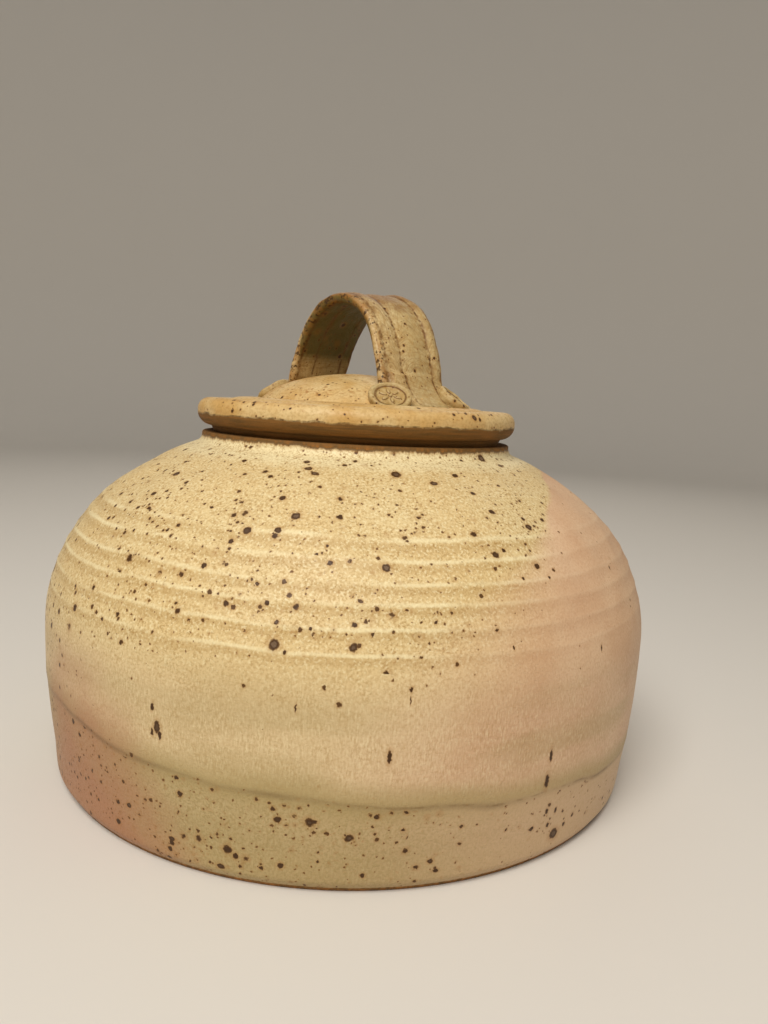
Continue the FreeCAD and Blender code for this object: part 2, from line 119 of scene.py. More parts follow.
class BeanPotLidForm(bpy.types.PropertyGroup):
    """Sizes of the lid."""

    edge_radius: length("Edge radius", "Radius of the flange", LID_HIGH.x, 1)
    apex_height: length("Apex height", "Top of the dome above the table", LID_HIGH.z, 1)
    collar_bottom: length("Collar bottom", "Lower edge of the collar", LID_LOW.z, 1)
    collar_gap: length("Collar gap", "Between the collar and the mouth", 1.5)
    collar_wall: length("Collar wall", "Thickness of the collar", 6)
    seat_width: length("Seat width", "Flat that rests on the rim", 4.5)
    under_gap: length("Under gap", "Gap over the rim's outer edge", 2.3)
    thick: length("Flange thickness", "Thickness of the flange", 10.6)
    low_round: length("Low round", "Round under the flange's edge", 5.2)
    top_round: length("Top round", "Round on the flange's edge", 4.4)
    groove_inset: length("Groove inset", "From the edge in to the groove", 9.8)
    groove_width: length("Groove width", "Width of the groove", 6)
    groove_depth: length("Groove depth", "Depth of the groove", 1.2)
    shelf_rise: length("Shelf rise", "Soft crown of the shelf", 1)
    dome_radius: length("Dome radius", "Radius of the dome at its foot", 40.35)
    dome_turn: turn("Dome crown turn", "Half the angle of the dome's flat crown", 18)
    dome_edge: length("Dome edge round", "Round between crown and shelf", 30)
    wall: length("Lid wall", "Thickness of the dome", 6.5)


class BeanPotHandleForm(bpy.types.PropertyGroup):
    """Sizes of the strap handle and its pads."""

    offset: length("Offset", "How far the strap stands off the lid's middle", 2.2)
    width: length("Width", "Width of the strap", 32.6)
    thick: length("Thickness", "Thickness of the strap", 4.4)
    half_span: length("Half span", "From the middle to the strap at the lid", 28.8)
    crown_radius: length("Crown radius", "Round of the arch's top", 24)
    grain: length("Clay grain", "Fineness of the modelled clay", 0.42)
    spread: length("Spread", "How far the left foot stands further out", 3)
    smear: length("Smear", "How far the foot is smeared out over the lid", 10.5)
    pad_radius: length("Pad radius", "Radius of a pad", 8.3)
    pad_thick: length("Pad thickness", "How deep a pad goes into the joint", 6.2)
    pad_rim: length("Pad rim", "Round of a pad's rolled rim", 1.15)
    pad_out: length("Pad out", "Pad's middle outside the strap's face", 5.6)
    pad_across: length("Pad across", "Pad's middle past the strap's edge", 1.8)
    pad_height: length("Pad height", "Pad's middle above the shelf", 5.1)
    pad_tilt: turn("Pad tilt", "How far a pad leans out", 36)
    pad_turn: turn("Pad turn", "The way a pad faces, from the span", 33)
    petals: bpy.props.IntProperty(name="Petals", description="Petals on a pad", default=6)


class BeanPotGlaze(bpy.types.PropertyGroup):
    """Colours of the glaze and of the clay; some are also laid as painted highlight and painted
    shade.
    """

    cream: colour("Cream", "Thick glaze", "DFCB9A")
    buff: colour("Buff", "Speckled glaze", "D6BB86")
    # also laid as a painted highlight along the throwing rings' crests
    pale_and_highlight: colour("Pale", "Thickest glaze, on crests and in the neck's hollow", "EFE2B6")
    belly: colour("Belly", "Smooth glaze on the belly", "D4BC93")
    lid: colour("Lid", "Glaze on the lid", "C69D5C")
    # also laid as painted shade in the hollows under the throwing rings
    freckle_and_shade: colour("Freckle", "Small tan freckles in the glaze", "A58044")
    # also laid as painted shade about the overlap's roll and on the strap's far panels
    olive_and_shade: colour("Olive", "Thin glaze under the overlap", "A48F5E")
    shade: colour("Shade", "Dark line under the overlap and at the rim", "5E4420")
    rose: colour("Rose", "Rosy side of the pot", "C89C7C")
    blush: colour("Blush", "Paler patches of the rosy side", "D9B696")
    plum: colour("Plum", "Rosy patch low on the pot", "AA6E52")
    iron: colour("Iron", "Spots of iron", "3C2204")
    bran: colour("Bran", "Smaller specks of iron", "664012")
    ash: colour("Ash", "Grey middle of the larger spots", "806850")
    rust: colour("Rust", "Glaze that breaks over an edge", "9C6626")
    amber: colour("Amber", "Rubbed glaze on top of the strap", "74480F")
    # laid darker than the glaze's own colour, as painted shade, under the strap and in the crease
    # at its feet
    moss_and_shade: colour("Moss", "Dim glaze under the strap", "575022")
    clay: colour("Clay", "Bare toasted clay", "A06A2E")
    umber: colour("Umber", "Bare clay in the lid's lower edge", "694C23")
    inside: colour("Inside", "Glaze inside the pot", "B4976F")


class BeanPotStage(bpy.types.PropertyGroup):
    """The view and the light."""

    camera_distance: length("Camera distance", "From the pot's axis", 330.4)
    camera_height: length("Camera height", "Above the table", 145.5)
    pitch: turn("Camera pitch", "How far the camera looks down", 8.15)
    roll: turn("Camera roll", "How far the camera is turned about its own line", 3.1)
    yaw: turn("Camera yaw", "How far the camera looks to the side", -2.27)
    lens: bpy.props.FloatProperty(name="Lens", description="Focal length in mm", default=27.83)
    floor: colour("Floor", "Plain floor", "D9D4CC")


FORMS = {
    "bean_pot_form": BeanPotForm,
    "bean_pot_lid": BeanPotLidForm,
    "bean_pot_handle": BeanPotHandleForm,
    "bean_pot_glaze": BeanPotGlaze,
    "bean_pot_stage": BeanPotStage,
}


# ---- modelling ----------------------------------------------------------------------


def begin(name):
    """Starts a piece as one point at the origin, open in edit mode."""
    bpy.ops.object.select_all(action="DESELECT")
    bpy.ops.mesh.primitive_plane_add(size=MM)
    piece = bpy.context.object
    piece.name = piece.data.name = name
    bpy.ops.object.mode_set(mode="EDIT")
    bpy.ops.mesh.merge(type="CENTER")
    return piece


def stretch(start, end, bend, pitch):
    """Points from one corner to the next: straight, or on an arc of that radius that
    turns left where the radius is above nought and right where it is below."""
    chord = end - start
    if bend is None:
        count = max(1, round(chord.length / pitch))
        return [start + chord * (step / count) for step in range(1, count + 1)]
    left = Vector((-chord.y, chord.x)).normalized() * math.copysign(1, bend)
    half = min(chord.length / 2, abs(bend))
    centre = start + chord / 2 + left * math.sqrt(bend * bend - half * half)
    sweep = 2 * math.asin(half / abs(bend)) * math.copysign(1, bend)
    count = max(2, round(abs(sweep * bend) / pitch))
    return [centre + Matrix.Rotation(sweep * step / count, 2) @ (start - centre)
            for step in range(1, count + 1)]


def draw(corners, pitch):
    """Extrudes the point along an outline of (x, z, bend, fineness) corners in the XZ plane."""
    here = Vector(corners[0][:2])
    bpy.ops.transform.translate(value=(here.x, 0, here.y))
    for (x, z, bend, fine), after in zip(corners, corners[1:]):
        for there in stretch(Vector((x, z)), Vector(after[:2]), bend, pitch * fine):
            step = there - here
            bpy.ops.mesh.extrude_region_move(
                TRANSFORM_OT_translate={"value": (step.x, 0, step.y)})
            here = there


def throw(name, outline, pitch, steps):
    """Spins an outline about Z into a closed round, as on a wheel."""
    piece = begin(name)
    draw(outline, pitch)
    bpy.ops.mesh.select_all(action="SELECT")
    bpy.ops.mesh.spin(steps=steps, angle=math.tau, center=(0, 0, 0), axis=(0, 0, 1))
    bpy.ops.mesh.select_all(action="SELECT")
    bpy.ops.mesh.remove_doubles(threshold=WELD)
    bpy.ops.mesh.normals_make_consistent(inside=False)
    bpy.ops.object.mode_set(mode="OBJECT")
    return piece


def pick(*pieces):
    """Selects only these pieces; the first is the active one."""
    bpy.ops.object.select_all(action="DESELECT")
    for piece in pieces:
        piece.select_set(True)
    bpy.context.view_layer.objects.active = pieces[0]


def apply(piece, kind, **settings):
    """Adds a modifier and applies it."""
    bpy.context.view_layer.objects.active = piece
    modifier = piece.modifiers.new(kind.title(), kind)
    for name, value in settings.items():
        setattr(modifier, name, value)
    bpy.ops.object.modifier_apply(modifier=modifier.name)


def guide(place, toward, reach):
    """A measuring stick: its first axis runs toward a direction and is 1 at that reach."""
    stick = bpy.data.objects.new("guide", None)
    bpy.context.scene.collection.objects.link(stick)
    turned = Vector((1, 0, 0)).rotation_difference(toward).to_matrix().to_4x4()
    stick.matrix_world = Matrix.Translation(place) @ turned @ Matrix.Scale(reach, 4)
    return stick


def bands(stops):
    """A pattern of bands: (place from -1 to 1, height from 0 to 1)."""
    texture = bpy.data.textures.new("bands", "BLEND")
    texture.use_color_ramp = True
    elements = texture.color_ramp.elements
    texture.color_ramp.interpolation = "B_SPLINE"
    while len(elements) > 1:
        elements.remove(elements[0])
    for at, (place, height) in enumerate(stops):
        element = elements.new((place + 1) / 2) if at else elements[0]
        element.position = (place + 1) / 2
        element.color = (height, height, height, 1)
    return texture


def clouds(size, depth=1):
    """Soft unevenness of a size in metres."""
    texture = bpy.data.textures.new("clouds", "CLOUDS")
    texture.noise_scale = size
    texture.noise_depth = depth
    return texture


def press(piece, texture, strength, stick=None, direction="NORMAL", middle=0.5, group=""):
    """Moves the surface by a pattern."""
    settings = {"texture_coords": "LOCAL"}
    if stick:
        settings = {"texture_coords": "OBJECT", "texture_coords_object": stick}
    bpy.context.view_layer.update()
    apply(piece, "DISPLACE", texture=texture, strength=strength, direction=direction,
          mid_level=middle, vertex_group=group, **settings)
    bpy.data.textures.remove(texture)
    if stick:
        bpy.data.objects.remove(stick)


def ease(low, high, value):
    """0 below low, 1 above high and smooth between them; low may be the greater."""
    share = min(1, max(0, (value - low) / (high - low)))
    return share * share * (3 - 2 * share)


def weigh(piece, name, weight):
    """A vertex group whose weights come from each point's place."""
    group = piece.vertex_groups.new(name=name)
    for vertex in piece.data.vertices:
        group.add([vertex.index], weight(vertex.co), "REPLACE")
    return name


def note(piece, name, measure):
    """Keeps a measure of each point's place on the mesh, for the finish to follow."""
    kept = piece.data.attributes.new(name, "FLOAT", "POINT")
    kept.data.foreach_set("value", [measure(v.co) for v in piece.data.vertices])


def copy_of(source, name):
    """A new piece with a copy of another's mesh."""
    piece = bpy.data.objects.new(name, source.data.copy())
    piece.data.name = name
    bpy.context.scene.collection.objects.link(piece)
    return piece


def done(piece, body, finish, node):
    """Shades a piece smooth, gives it its finish and sets it on its body."""
    pick(piece)
    bpy.ops.object.shade_smooth_by_angle(angle=SMOOTH_ANGLE)
    piece.data.materials.clear()
    piece.data.materials.append(bpy.data.materials[finish])
    piece.vertex_groups.clear()
    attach(piece, body)
    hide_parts(node)


# ---- finishes -----------------------------------------------------------------------


class Wiring:
    """Adds nodes to one tree and joins them."""

    def __init__(self, tree):
        self.tree = tree

    def add(self, kind, settings=None, inputs=None):
        node = self.tree.nodes.new("ShaderNode" + kind)
        for name, value in (settings or {}).items():
            setattr(node, name, value)
        for name, value in (inputs or {}).items():
            self.feed(node.inputs[name], value)
        return node

    def feed(self, socket, value):
        if isinstance(value, bpy.types.NodeSocket):
            self.tree.links.new(value, socket)
        else:
            socket.default_value = value

    def math(self, operation, *values, clamp=False):
        settings = {"operation": operation, "use_clamp": clamp}
        return self.add("Math", settings, dict(enumerate(values))).outputs[0]

    times = partialmethod(math, "MULTIPLY")
    plus = partialmethod(math, "ADD")
    minus = partialmethod(math, "SUBTRACT")
    over = partialmethod(math, "DIVIDE")
    most = partialmethod(math, "MAXIMUM")
    line = partialmethod(math, "MULTIPLY_ADD")  # value, slope, start

    def off(self, value, level):
        """How far a value is from a level."""
        return self.math("ABSOLUTE", self.minus(value, level))

    def vector(self, operation, *values):
        node = self.add("VectorMath", {"operation": operation}, dict(enumerate(values)))
        return node.outputs["Value" if operation in ("DOT_PRODUCT", "LENGTH") else "Vector"]

    def scale(self, vector, factor):
        inputs = {0: vector, "Scale": factor}
        return self.add("VectorMath", {"operation": "SCALE"}, inputs).outputs[0]

    def squeeze(self, place, *factors):
        """Scales each axis, which draws a pattern out along those with a small factor."""
        return self.vector("MULTIPLY", place, factors)

    def split(self, vector):
        return self.add("SeparateXYZ", None, {0: vector}).outputs

    def join(self, *parts):
        return self.add("CombineXYZ", None, dict(enumerate(parts))).outputs[0]

    def mix(self, share, first, second):
        inputs = {0: share, 6: first, 7: second}
        return self.add("Mix", {"data_type": "RGBA", "blend_type": "MIX"}, inputs).outputs[2]

    def ease(self, value, low, high, to_low=0.0, to_high=1.0):
        inputs = {0: value, 1: low, 2: high, 3: to_low, 4: to_high}
        return self.add("MapRange", {"interpolation_type": "SMOOTHSTEP"}, inputs).outputs[0]

    def noise(self, vector, scale, detail=2.0, rough=0.5):
        inputs = {"Vector": vector, "Scale": scale, "Detail": detail, "Roughness": rough}
        return self.add("TexNoise", None, inputs).outputs[0]

    def sway(self, vector, scale, reach, detail=2.0, rough=0.5):
        """A noise about nought, at most half the reach to either side."""
        return self.times(self.minus(self.noise(vector, scale, detail, rough), 0.5), reach)

    def group(self, name, **inputs):
        node = self.tree.nodes.new("ShaderNodeGroup")
        node.node_tree = bpy.data.node_groups[name]
        for key, value in inputs.items():
            self.feed(node.inputs[key], value)
        return node.outputs

    def place(self):
        return self.add("TexCoord").outputs["Object"]

    def attribute(self, name):
        return self.add("Attribute", {"attribute_name": name}).outputs["Fac"]


class Tone:
    """A colour that is built up in layers."""

    def __init__(self, wires, colour):
        self.wires = wires
        self.colour = colour

    def lay(self, colour, share, part=None):
        """Lays a colour over it, by a share or by a part of that share."""
        if part is not None:
            share = self.wires.times(share, part)
        self.colour = self.wires.mix(share, self.colour, colour)


def new_group(name, vectors, numbers, results):
    """A node group with named vectors and numbers as inputs and numbers as outputs; gives
    its wiring, inputs and outputs."""
    tree = bpy.data.node_groups.new(name, "ShaderNodeTree")
    for names, flow, kind in ((vectors, "INPUT", "Vector"), (numbers, "INPUT", "Float"),
                              (results, "OUTPUT", "Float")):
        for socket in names.split():
            tree.interface.new_socket(socket, in_out=flow, socket_type=f"NodeSocket{kind}")
    inward = tree.nodes.new("NodeGroupInput").outputs
    outward = tree.nodes.new("NodeGroupOutput").inputs
    return Wiring(tree), inward, outward


# the marks that a speck is made of: where each begins and where it is full, as shares of
# the speck's radius
MARKS = {"Speck": (1.0, 0.72), "Heart": (0.55, 0.3), "Core": (1.0, 0.5), "Halo": (1.9, 0.9)}
SO_FAR = " ".join(MARKS)
SPOT_DEPTH = 3.5 * MM  # how far off the surface a spot with a place of its own still shows


def gather(wires, given, out, ratio, present):
    """Adds one more speck to the iron so far: its body, dark core, grey heart and halo."""
    shares = {"Heart": given["Grey"], "Core": given["Dark"]}
    for name, (edge, core) in MARKS.items():
        found = wires.times(wires.ease(ratio, edge, core), present)
        if name in shares:
            found = wires.times(found, shares[name])
        wires.feed(out[name], wires.most(found, given[name]))


def make_specks():
    """Round iron specks, one at most in each cell of a scatter."""
    wires, given, out = new_group(
        "iron specks", "Place", "Pitch Share Radius Dark Grey " + SO_FAR, SO_FAR)
    scale = wires.over(1.0, given["Pitch"])
    cells = wires.add("TexVoronoi", {"voronoi_dimensions": "3D"}, {
        "Vector": given["Place"], "Scale": scale, "Randomness": 0.95})
    lot = wires.add("SeparateColor", None, {0: cells.outputs["Color"]}).outputs
    present = wires.math("LESS_THAN", lot[0], given["Share"])
    grown = wires.line(wires.math("POWER", lot[1], 2.0), 0.7, 0.5)
    radius = wires.times(wires.times(grown, given["Radius"]), scale)
    gather(wires, given, out, wires.over(cells.outputs["Distance"], radius), present)


def make_spot():
    """One iron spot at a known place on the surface, drawn down into a run."""
    wires, given, out = new_group(
        "iron spot", "Place At Outward", "Radius Run Dark Grey " + SO_FAR, SO_FAR)
    away = wires.vector("SUBTRACT", given["Place"], given["At"])
    lift = wires.vector("DOT_PRODUCT", away, given["Outward"])
    flat = wires.vector("SUBTRACT", away, wires.scale(given["Outward"], lift))
    x, y, z = wires.split(flat)
    level = wires.join(x, y, wires.over(z, given["Run"]))
    ratio = wires.over(wires.vector("LENGTH", level), given["Radius"])
    near = wires.math("LESS_THAN", wires.math("ABSOLUTE", lift), SPOT_DEPTH)
    gather(wires, given, out, ratio, near)


def make_mottle():
    """Cloudy thickness of a glaze: broad clouds and fine grain."""
    wires, given, out = new_group("glaze mottle", "Place", "Broad Fine", "Cloud Patch Grain")
    broad = wires.noise(given["Place"], given["Broad"], 3.0, 0.55)
    patch = wires.noise(given["Place"], wires.times(given["Broad"], 7.0), 2.0, 0.5)
    fine = wires.noise(given["Place"], given["Fine"], 2.0, 0.6)
    wires.feed(out["Cloud"], wires.ease(broad, 0.3, 0.7))
    wires.feed(out["Patch"], wires.ease(patch, 0.35, 0.7))
    wires.feed(out["Grain"], wires.ease(fine, 0.4, 0.7))


def make_side():
    """The side of a slanting plane that lies along its direction, with a wavy border."""
    wires, given, out = new_group(
        "dipped side", "Place Toward", "Border Width Waves Size", "Side")
    along = wires.vector("DOT_PRODUCT", given["Place"], given["Toward"])
    wave = wires.sway(given["Place"], given["Size"], given["Waves"], 3.0, 0.55)
    past = wires.minus(wires.plus(along, wave), given["Border"])
    wires.feed(out["Side"], wires.ease(wires.over(past, given["Width"]), -1.0, 1.0))


def make_streaks():
    """Short fine runs in the glaze, along whatever axis the place is squeezed in."""
    wires, given, out = new_group("glaze runs", "Place", "Fine Patches", "Streak")
    fine = wires.noise(given["Place"], given["Fine"], 2.0, 0.6)
    patch = wires.noise(given["Place"], given["Patches"], 1.0, 0.5)
    share = wires.times(wires.ease(fine, 0.53, 0.68), wires.ease(patch, 0.42, 0.62))
    wires.feed(out["Streak"], share)


def new_finish(name):
    """A material with a Principled shader; gives its wiring and the shader."""
    material = bpy.data.materials.new(name)
    material.use_nodes = True
    shader = material.node_tree.nodes["Principled BSDF"]
    shader.inputs["Specular IOR Level"].default_value = 0.3
    return Wiring(material.node_tree), shader


def ragged(wires, place, amount, scale=650.0):
    """The place, shaken a little, so that what is laid on it has a ragged edge."""
    jitter = wires.add("TexNoise", None, {"Vector": place, "Scale": scale, "Detail": 1.0})
    off = wires.vector("SUBTRACT", jitter.outputs["Color"], (0.5, 0.5, 0.5))
    return wires.vector("ADD", place, wires.scale(off, amount))


def stain(tone, iron, glaze):
    """Lays the iron found so far over a colour."""
    tone.lay(glaze.rust, iron["Halo"], 0.3)
    tone.lay(glaze.bran, iron["Speck"], 0.9)
    tone.lay(glaze.iron, iron["Core"])
    tone.lay(glaze.ash, iron["Heart"], 0.75)


def speckle(wires, place, share, scatters, iron=None):
    """Adds scatters of (pitch, share, radius, dark, grey) to the iron so far."""
    iron = iron or dict.fromkeys(MARKS, 0.0)
    for pitch, part, radius, dark, grey in scatters:
        most = wires.times(wires.math("POWER", share, 1 + radius), part)
        found = wires.group("iron specks", Place=place, Pitch=pitch * MM, Share=most,
                            Radius=radius * MM, Dark=dark, Grey=grey, **iron)
        iron = {name: found[name] for name in MARKS}
    return iron


def spotted(wires, place, iron, spots, radius_at):
    """Adds the larger spots and runs that have a place of their own to the iron so far."""
    for bearing, height, radius, run, grey in spots:
        out = TOWARD * math.cos(math.radians(bearing)) + ACROSS * math.sin(math.radians(bearing))
        low, high = (radius_at(height * MM + step) for step in (-MM, MM))
        normal = (out * 2 * MM + UP * (low - high)).normalized()
        at = out * radius_at(height * MM) + UP * (height * MM)
        found = wires.group("iron spot", Place=place, At=tuple(at), Outward=tuple(normal),
                            Radius=radius * SPOT_SIZE * MM, Run=run, Dark=SPOT_DARK, Grey=grey,
                            **iron)
        iron = {name: found[name] for name in MARKS}
    return iron


# ---- glazes --------------------------------------------------------------------------

# (pitch, share, radius, dark, grey) of each scatter of iron, in mm and shares
POT_SCATTERS = (
    (1.7, 0.55, 0.42, 0.1, 0.0), (2.9, 0.6, 0.75, 0.6, 0.0), (4.2, 0.6, 1.15, 0.95, 0.1),
    (9.0, 0.5, 1.6, 0.95, 0.5),
)
LID_SCATTERS = (
    (1.5, 0.55, 0.42, 0.3, 0.0), (3.2, 0.45, 0.75, 0.8, 0.0), (6.5, 0.4, 1.0, 0.9, 0.1),
)
HANDLE_SCATTERS = (
    (1.5, 0.5, 0.38, 0.3, 0.0), (3.6, 0.4, 0.7, 0.8, 0.0), (8.0, 0.35, 1.0, 0.9, 0.0),
)
UNDER_STRAP_SCATTERS = ((7.0, 0.7, 1.7, 0.95, 0.0),)

# the larger spots: turn from the middle of the front in degrees, height in mm, radius in
# mm, how far it has run down, and how grey its heart is
POT_SPOTS = (
    (5.7, 97.3, 1.9, 1.0, 0.8), (-10.0, 75.8, 2.2, 1.1, 0.8), (-8.4, 73.9, 0.9, 1.0, 0.0),
    (19.3, 119.0, 1.9, 0.9, 0.6), (-13.5, 123.4, 1.5, 0.8, 0.7), (-9.9, 120.3, 1.7, 0.8, 0.7),
    (-12.0, 121.6, 2.0, 0.6, 0.5), (-10.5, 109.0, 2.1, 1.0, 0.7), (-18.5, 104.4, 2.0, 0.9, 0.2),
    (-12.9, 105.1, 1.8, 0.8, 0.3), (-20.5, 101.2, 1.3, 1.2, 0.1), (25.5, 100.4, 1.8, 1.0, 0.2),
    (27.5, 101.5, 1.0, 1.0, 0.0), (36.8, 107.1, 1.9, 0.9, 0.5), (45.9, 125.4, 2.6, 0.7, 0.95),
    (50.5, 123.6, 1.7, 0.6, 0.95), (-27.3, 46.0, 1.7, 1.7, 0.3), (-26.8, 43.6, 0.9, 2.2, 0.0),
    (-28.2, 44.0, 0.7, 2.4, 0.0), (6.6, 45.0, 0.95, 3.2, 0.0), (9.1, 65.0, 0.75, 1.6, 0.0),
    (9.1, 62.0, 0.3, 6.0, 0.0), (-6.4, 58.5, 0.45, 4.0, 0.0), (33.2, 38.5, 0.95, 3.2, 0.0),
    (33.0, 30.0, 1.3, 2.8, 0.0), (36.5, 17.5, 0.9, 1.6, 0.0), (34.3, 18.5, 0.9, 1.8, 0.0),
    (35.2, 13.0, 1.0, 1.3, 0.0), (-16.1, 11.2, 2.2, 0.9, 0.0), (-14.8, 9.4, 1.2, 1.3, 0.0),
    (-17.2, 5.0, 2.0, 0.6, 0.2), (-25.5, 9.8, 1.7, 0.7, 0.2), (-8.0, 8.5, 1.4, 1.0, 0.1),
    (-3.4, 24.0, 1.6, 0.7, 0.1), (37.1, 8.6, 2.9, 0.9, 0.5), (39.5, 10.4, 1.1, 1.0, 0.0),
    (13.9, 10.1, 1.4, 0.9, 0.3), (14.9, 6.6, 1.4, 0.7, 0.0), (31.5, 13.8, 1.4, 0.8, 0.0),
    (29.3, 93.6, 0.7, 2.2, 0.0), (35.0, 93.1, 0.7, 2.4, 0.0), (25.0, 75.0, 0.5, 3.0, 0.0),
    (44.3, 69.3, 0.5, 3.6, 0.0), (55.1, 91.7, 0.6, 2.0, 0.0), (-28.1, 52.0, 0.9, 2.0, 0.0),
)
LID_SPOTS = (
    (32.1, 141.2, 1.1, 1.0, 0.0), (40.7, 140.4, 1.6, 1.0, 0.6), (37.9, 141.8, 1.0, 1.0, 0.0),
    (-35.5, 141.8, 1.1, 1.0, 0.0), (-35.0, 141.0, 0.9, 1.0, 0.0), (-21.0, 140.5, 0.7, 1.0, 0.0),
    (43.5, 141.4, 0.6, 1.0, 0.0),
)
SPOT_SIZE = 0.78  # the share of a spot's stated radius that its dark body fills
SPOT_DARK = 0.95

# levels on the pot, as a glaze starts and is full
SMOOTH_BELLY = 78 * MM, 52 * MM  # down from the freckled shoulder to the smooth belly
NECK_HOLLOW = 121 * MM, 124 * MM
POT_GLAZE_END = 130.7 * MM  # with drips and waves, which lift it by some 3 mm, added
PLUM_BORDER = 103.5 * MM  # along its slanting direction
# and on the lid
LID_GLAZE_END = 137.9 * MM
GROOVE_AT, BROW_AT = 54.6 * MM, 61.6 * MM  # radii of its groove and of the flange's brow
SHELF_Z = LID_HIGH.z - 12.4 * MM
# the strap's grooves and drawn lines, in mm from its middle: place and half width
STRAP_LINES = ((-5.2, 0.7), (9.6, 0.6), (-13.3, 1.1), (14.3, 0.7))
PAD_LINE = -0.74 * MM  # the depth that glaze draws a line along on a pad


def make_pot_glaze(glaze, form):
    """Speckled buff glaze in its coats, with the bare rim and foot."""
    wires, shader = new_finish("speckled_glaze")
    place = wires.place()
    rise = wires.attribute("rise")
    above = wires.attribute("above_overlap")
    above = wires.plus(above, wires.sway(wires.place(), 45.0, 4 * MM))
    rough_place = ragged(wires, place, 1.0 * MM, 1000.0)
    cloud, patch, grain = wires.group("glaze mottle", Place=place, Broad=26.0, Fine=1250.0)
    smooth = wires.ease(rise, *SMOOTH_BELLY)
    tone = Tone(wires, glaze.buff)
    tone.lay(glaze.cream, cloud, 0.5)
    tone.lay(glaze.belly, smooth, 0.75)
    # throwing rings: the glaze thins paler on the crests, which also get a painted highlight; the
    # hollows just under them are laid tan as painted shade
    crest = hollow = 0.0
    for height in ring_heights(form):
        past = wires.minus(rise, height)
        crest = wires.most(crest, wires.ease(wires.math("ABSOLUTE", past), 0.95 * MM, 0.1 * MM))
        beside = wires.off(past, -1.9 * MM)
        hollow = wires.most(hollow, wires.ease(beside, 1.9 * MM, 0.3 * MM))
    crest = wires.times(crest, wires.line(
        wires.ease(wires.noise(place, 38.0), 0.35, 0.65), 0.8, 0.15))
    # painted shade in the hollows under the crests
    tone.lay(glaze.freckle_and_shade, hollow, 0.32)
    tone.lay(glaze.pale_and_highlight, wires.ease(rise, *NECK_HOLLOW), 0.62)
    freckles = wires.times(grain, wires.line(smooth, -0.4, 0.75))
    freckles = wires.times(freckles, wires.line(patch, 0.5, 0.6))
    tone.lay(glaze.freckle_and_shade, freckles)
    flecks = wires.ease(wires.noise(place, 1150.0, 1.0), 0.5, 0.72)
    tone.lay(glaze.pale_and_highlight, flecks, wires.line(smooth, -0.36, 0.5))
    # painted highlight along the crests
    tone.lay(glaze.pale_and_highlight, crest, 0.6)
    # the rosy side, whose border is sharp at the neck and fades out down the belly
    slant = ACROSS * 0.8 - UP * 0.6
    width = wires.ease(rise, 112 * MM, 70 * MM, 1.2 * MM, 30 * MM)
    rosy = wires.group("dipped side", Place=place, Toward=tuple(slant), Border=-12 * MM,
                       Width=width, Waves=7 * MM, Size=45.0)[0]
    blushed = Tone(wires, glaze.rose)
    blushed.lay(glaze.blush, cloud)
    blushed.lay(glaze.rose, grain, 0.35)
    tone.lay(blushed.colour, rosy, 0.8)
    # level bands on the belly, and a fine grain that runs down it
    level = wires.ease(wires.noise(wires.squeeze(place, 0.22, 0.22, 1.0), 60.0), 0.4, 0.62)
    tone.lay(glaze.olive_and_shade, wires.times(level, smooth), 0.36)
    weft = wires.noise(wires.squeeze(place, 1.0, 1.0, 0.3), 2000.0)
    amount = wires.times(smooth, wires.line(patch, 0.16, 0.16))
    tone.lay(glaze.pale_and_highlight, wires.ease(weft, 0.5, 0.7), amount)
    tone.lay(glaze.freckle_and_shade, wires.ease(weft, 0.5, 0.34), amount)
    # the coat ends in a roll; under it the glaze is thin and darker. A painted shadow lies just
    # under the roll, and a broad band about it is laid darker, partly thinner glaze and partly
    # painted shade.
    shadow = wires.ease(wires.off(above, -0.8 * MM), 1.9 * MM, 0.0)
    ledge = wires.ease(wires.off(above, 0.5 * MM), 9 * MM, 0.0)
    below = wires.ease(above, 2.0 * MM, -2.2 * MM)
    tone.lay(glaze.olive_and_shade, ledge, 0.75)
    tone.lay(glaze.olive_and_shade, below, wires.line(grain, 0.3, 0.6))
    low = TOWARD * 0.654 - ACROSS * 0.714 - UP * 0.248
    plum = wires.group("dipped side", Place=place, Toward=tuple(low), Border=PLUM_BORDER,
                       Width=6.5 * MM, Waves=8 * MM, Size=60.0)[0]
    tone.lay(glaze.plum, plum, 0.72)
    far = wires.vector("DOT_PRODUCT", place, tuple(ACROSS))
    tone.lay(glaze.blush, wires.times(wires.ease(far, 0.0, 75 * MM), below), 0.5)
    uneven = wires.ease(wires.noise(place, 32.0), 0.36, 0.66, 0.12, 0.38)
    tone.lay(glaze.shade, shadow, uneven)
    crisp = wires.ease(wires.off(above, -0.5 * MM), 0.6 * MM, 0.1 * MM)
    crisp = wires.times(crisp, wires.ease(far, -30 * MM, 60 * MM, 0.15, 0.6))
    tone.lay(glaze.umber, crisp, patch)
    # iron: most on the shoulder, under the overlap and at the left, least on the rosy side
    share = wires.most(wires.ease(rise, 84 * MM, 55 * MM, 1.0, 0.12), below)
    share = wires.most(share, wires.ease(far, -70 * MM, -105 * MM))
    coat = wires.line(below, -0.5, 1.0)
    share = wires.times(share, wires.line(wires.times(rosy, coat), -0.85, 1.0))
    share = wires.times(share, wires.line(cloud, 0.7, 0.5))
    iron = speckle(wires, rough_place, share, POT_SCATTERS)
    iron = spotted(wires, rough_place, iron, POT_SPOTS, lambda height: outer_radius(form, height))
    stain(tone, iron, glaze)
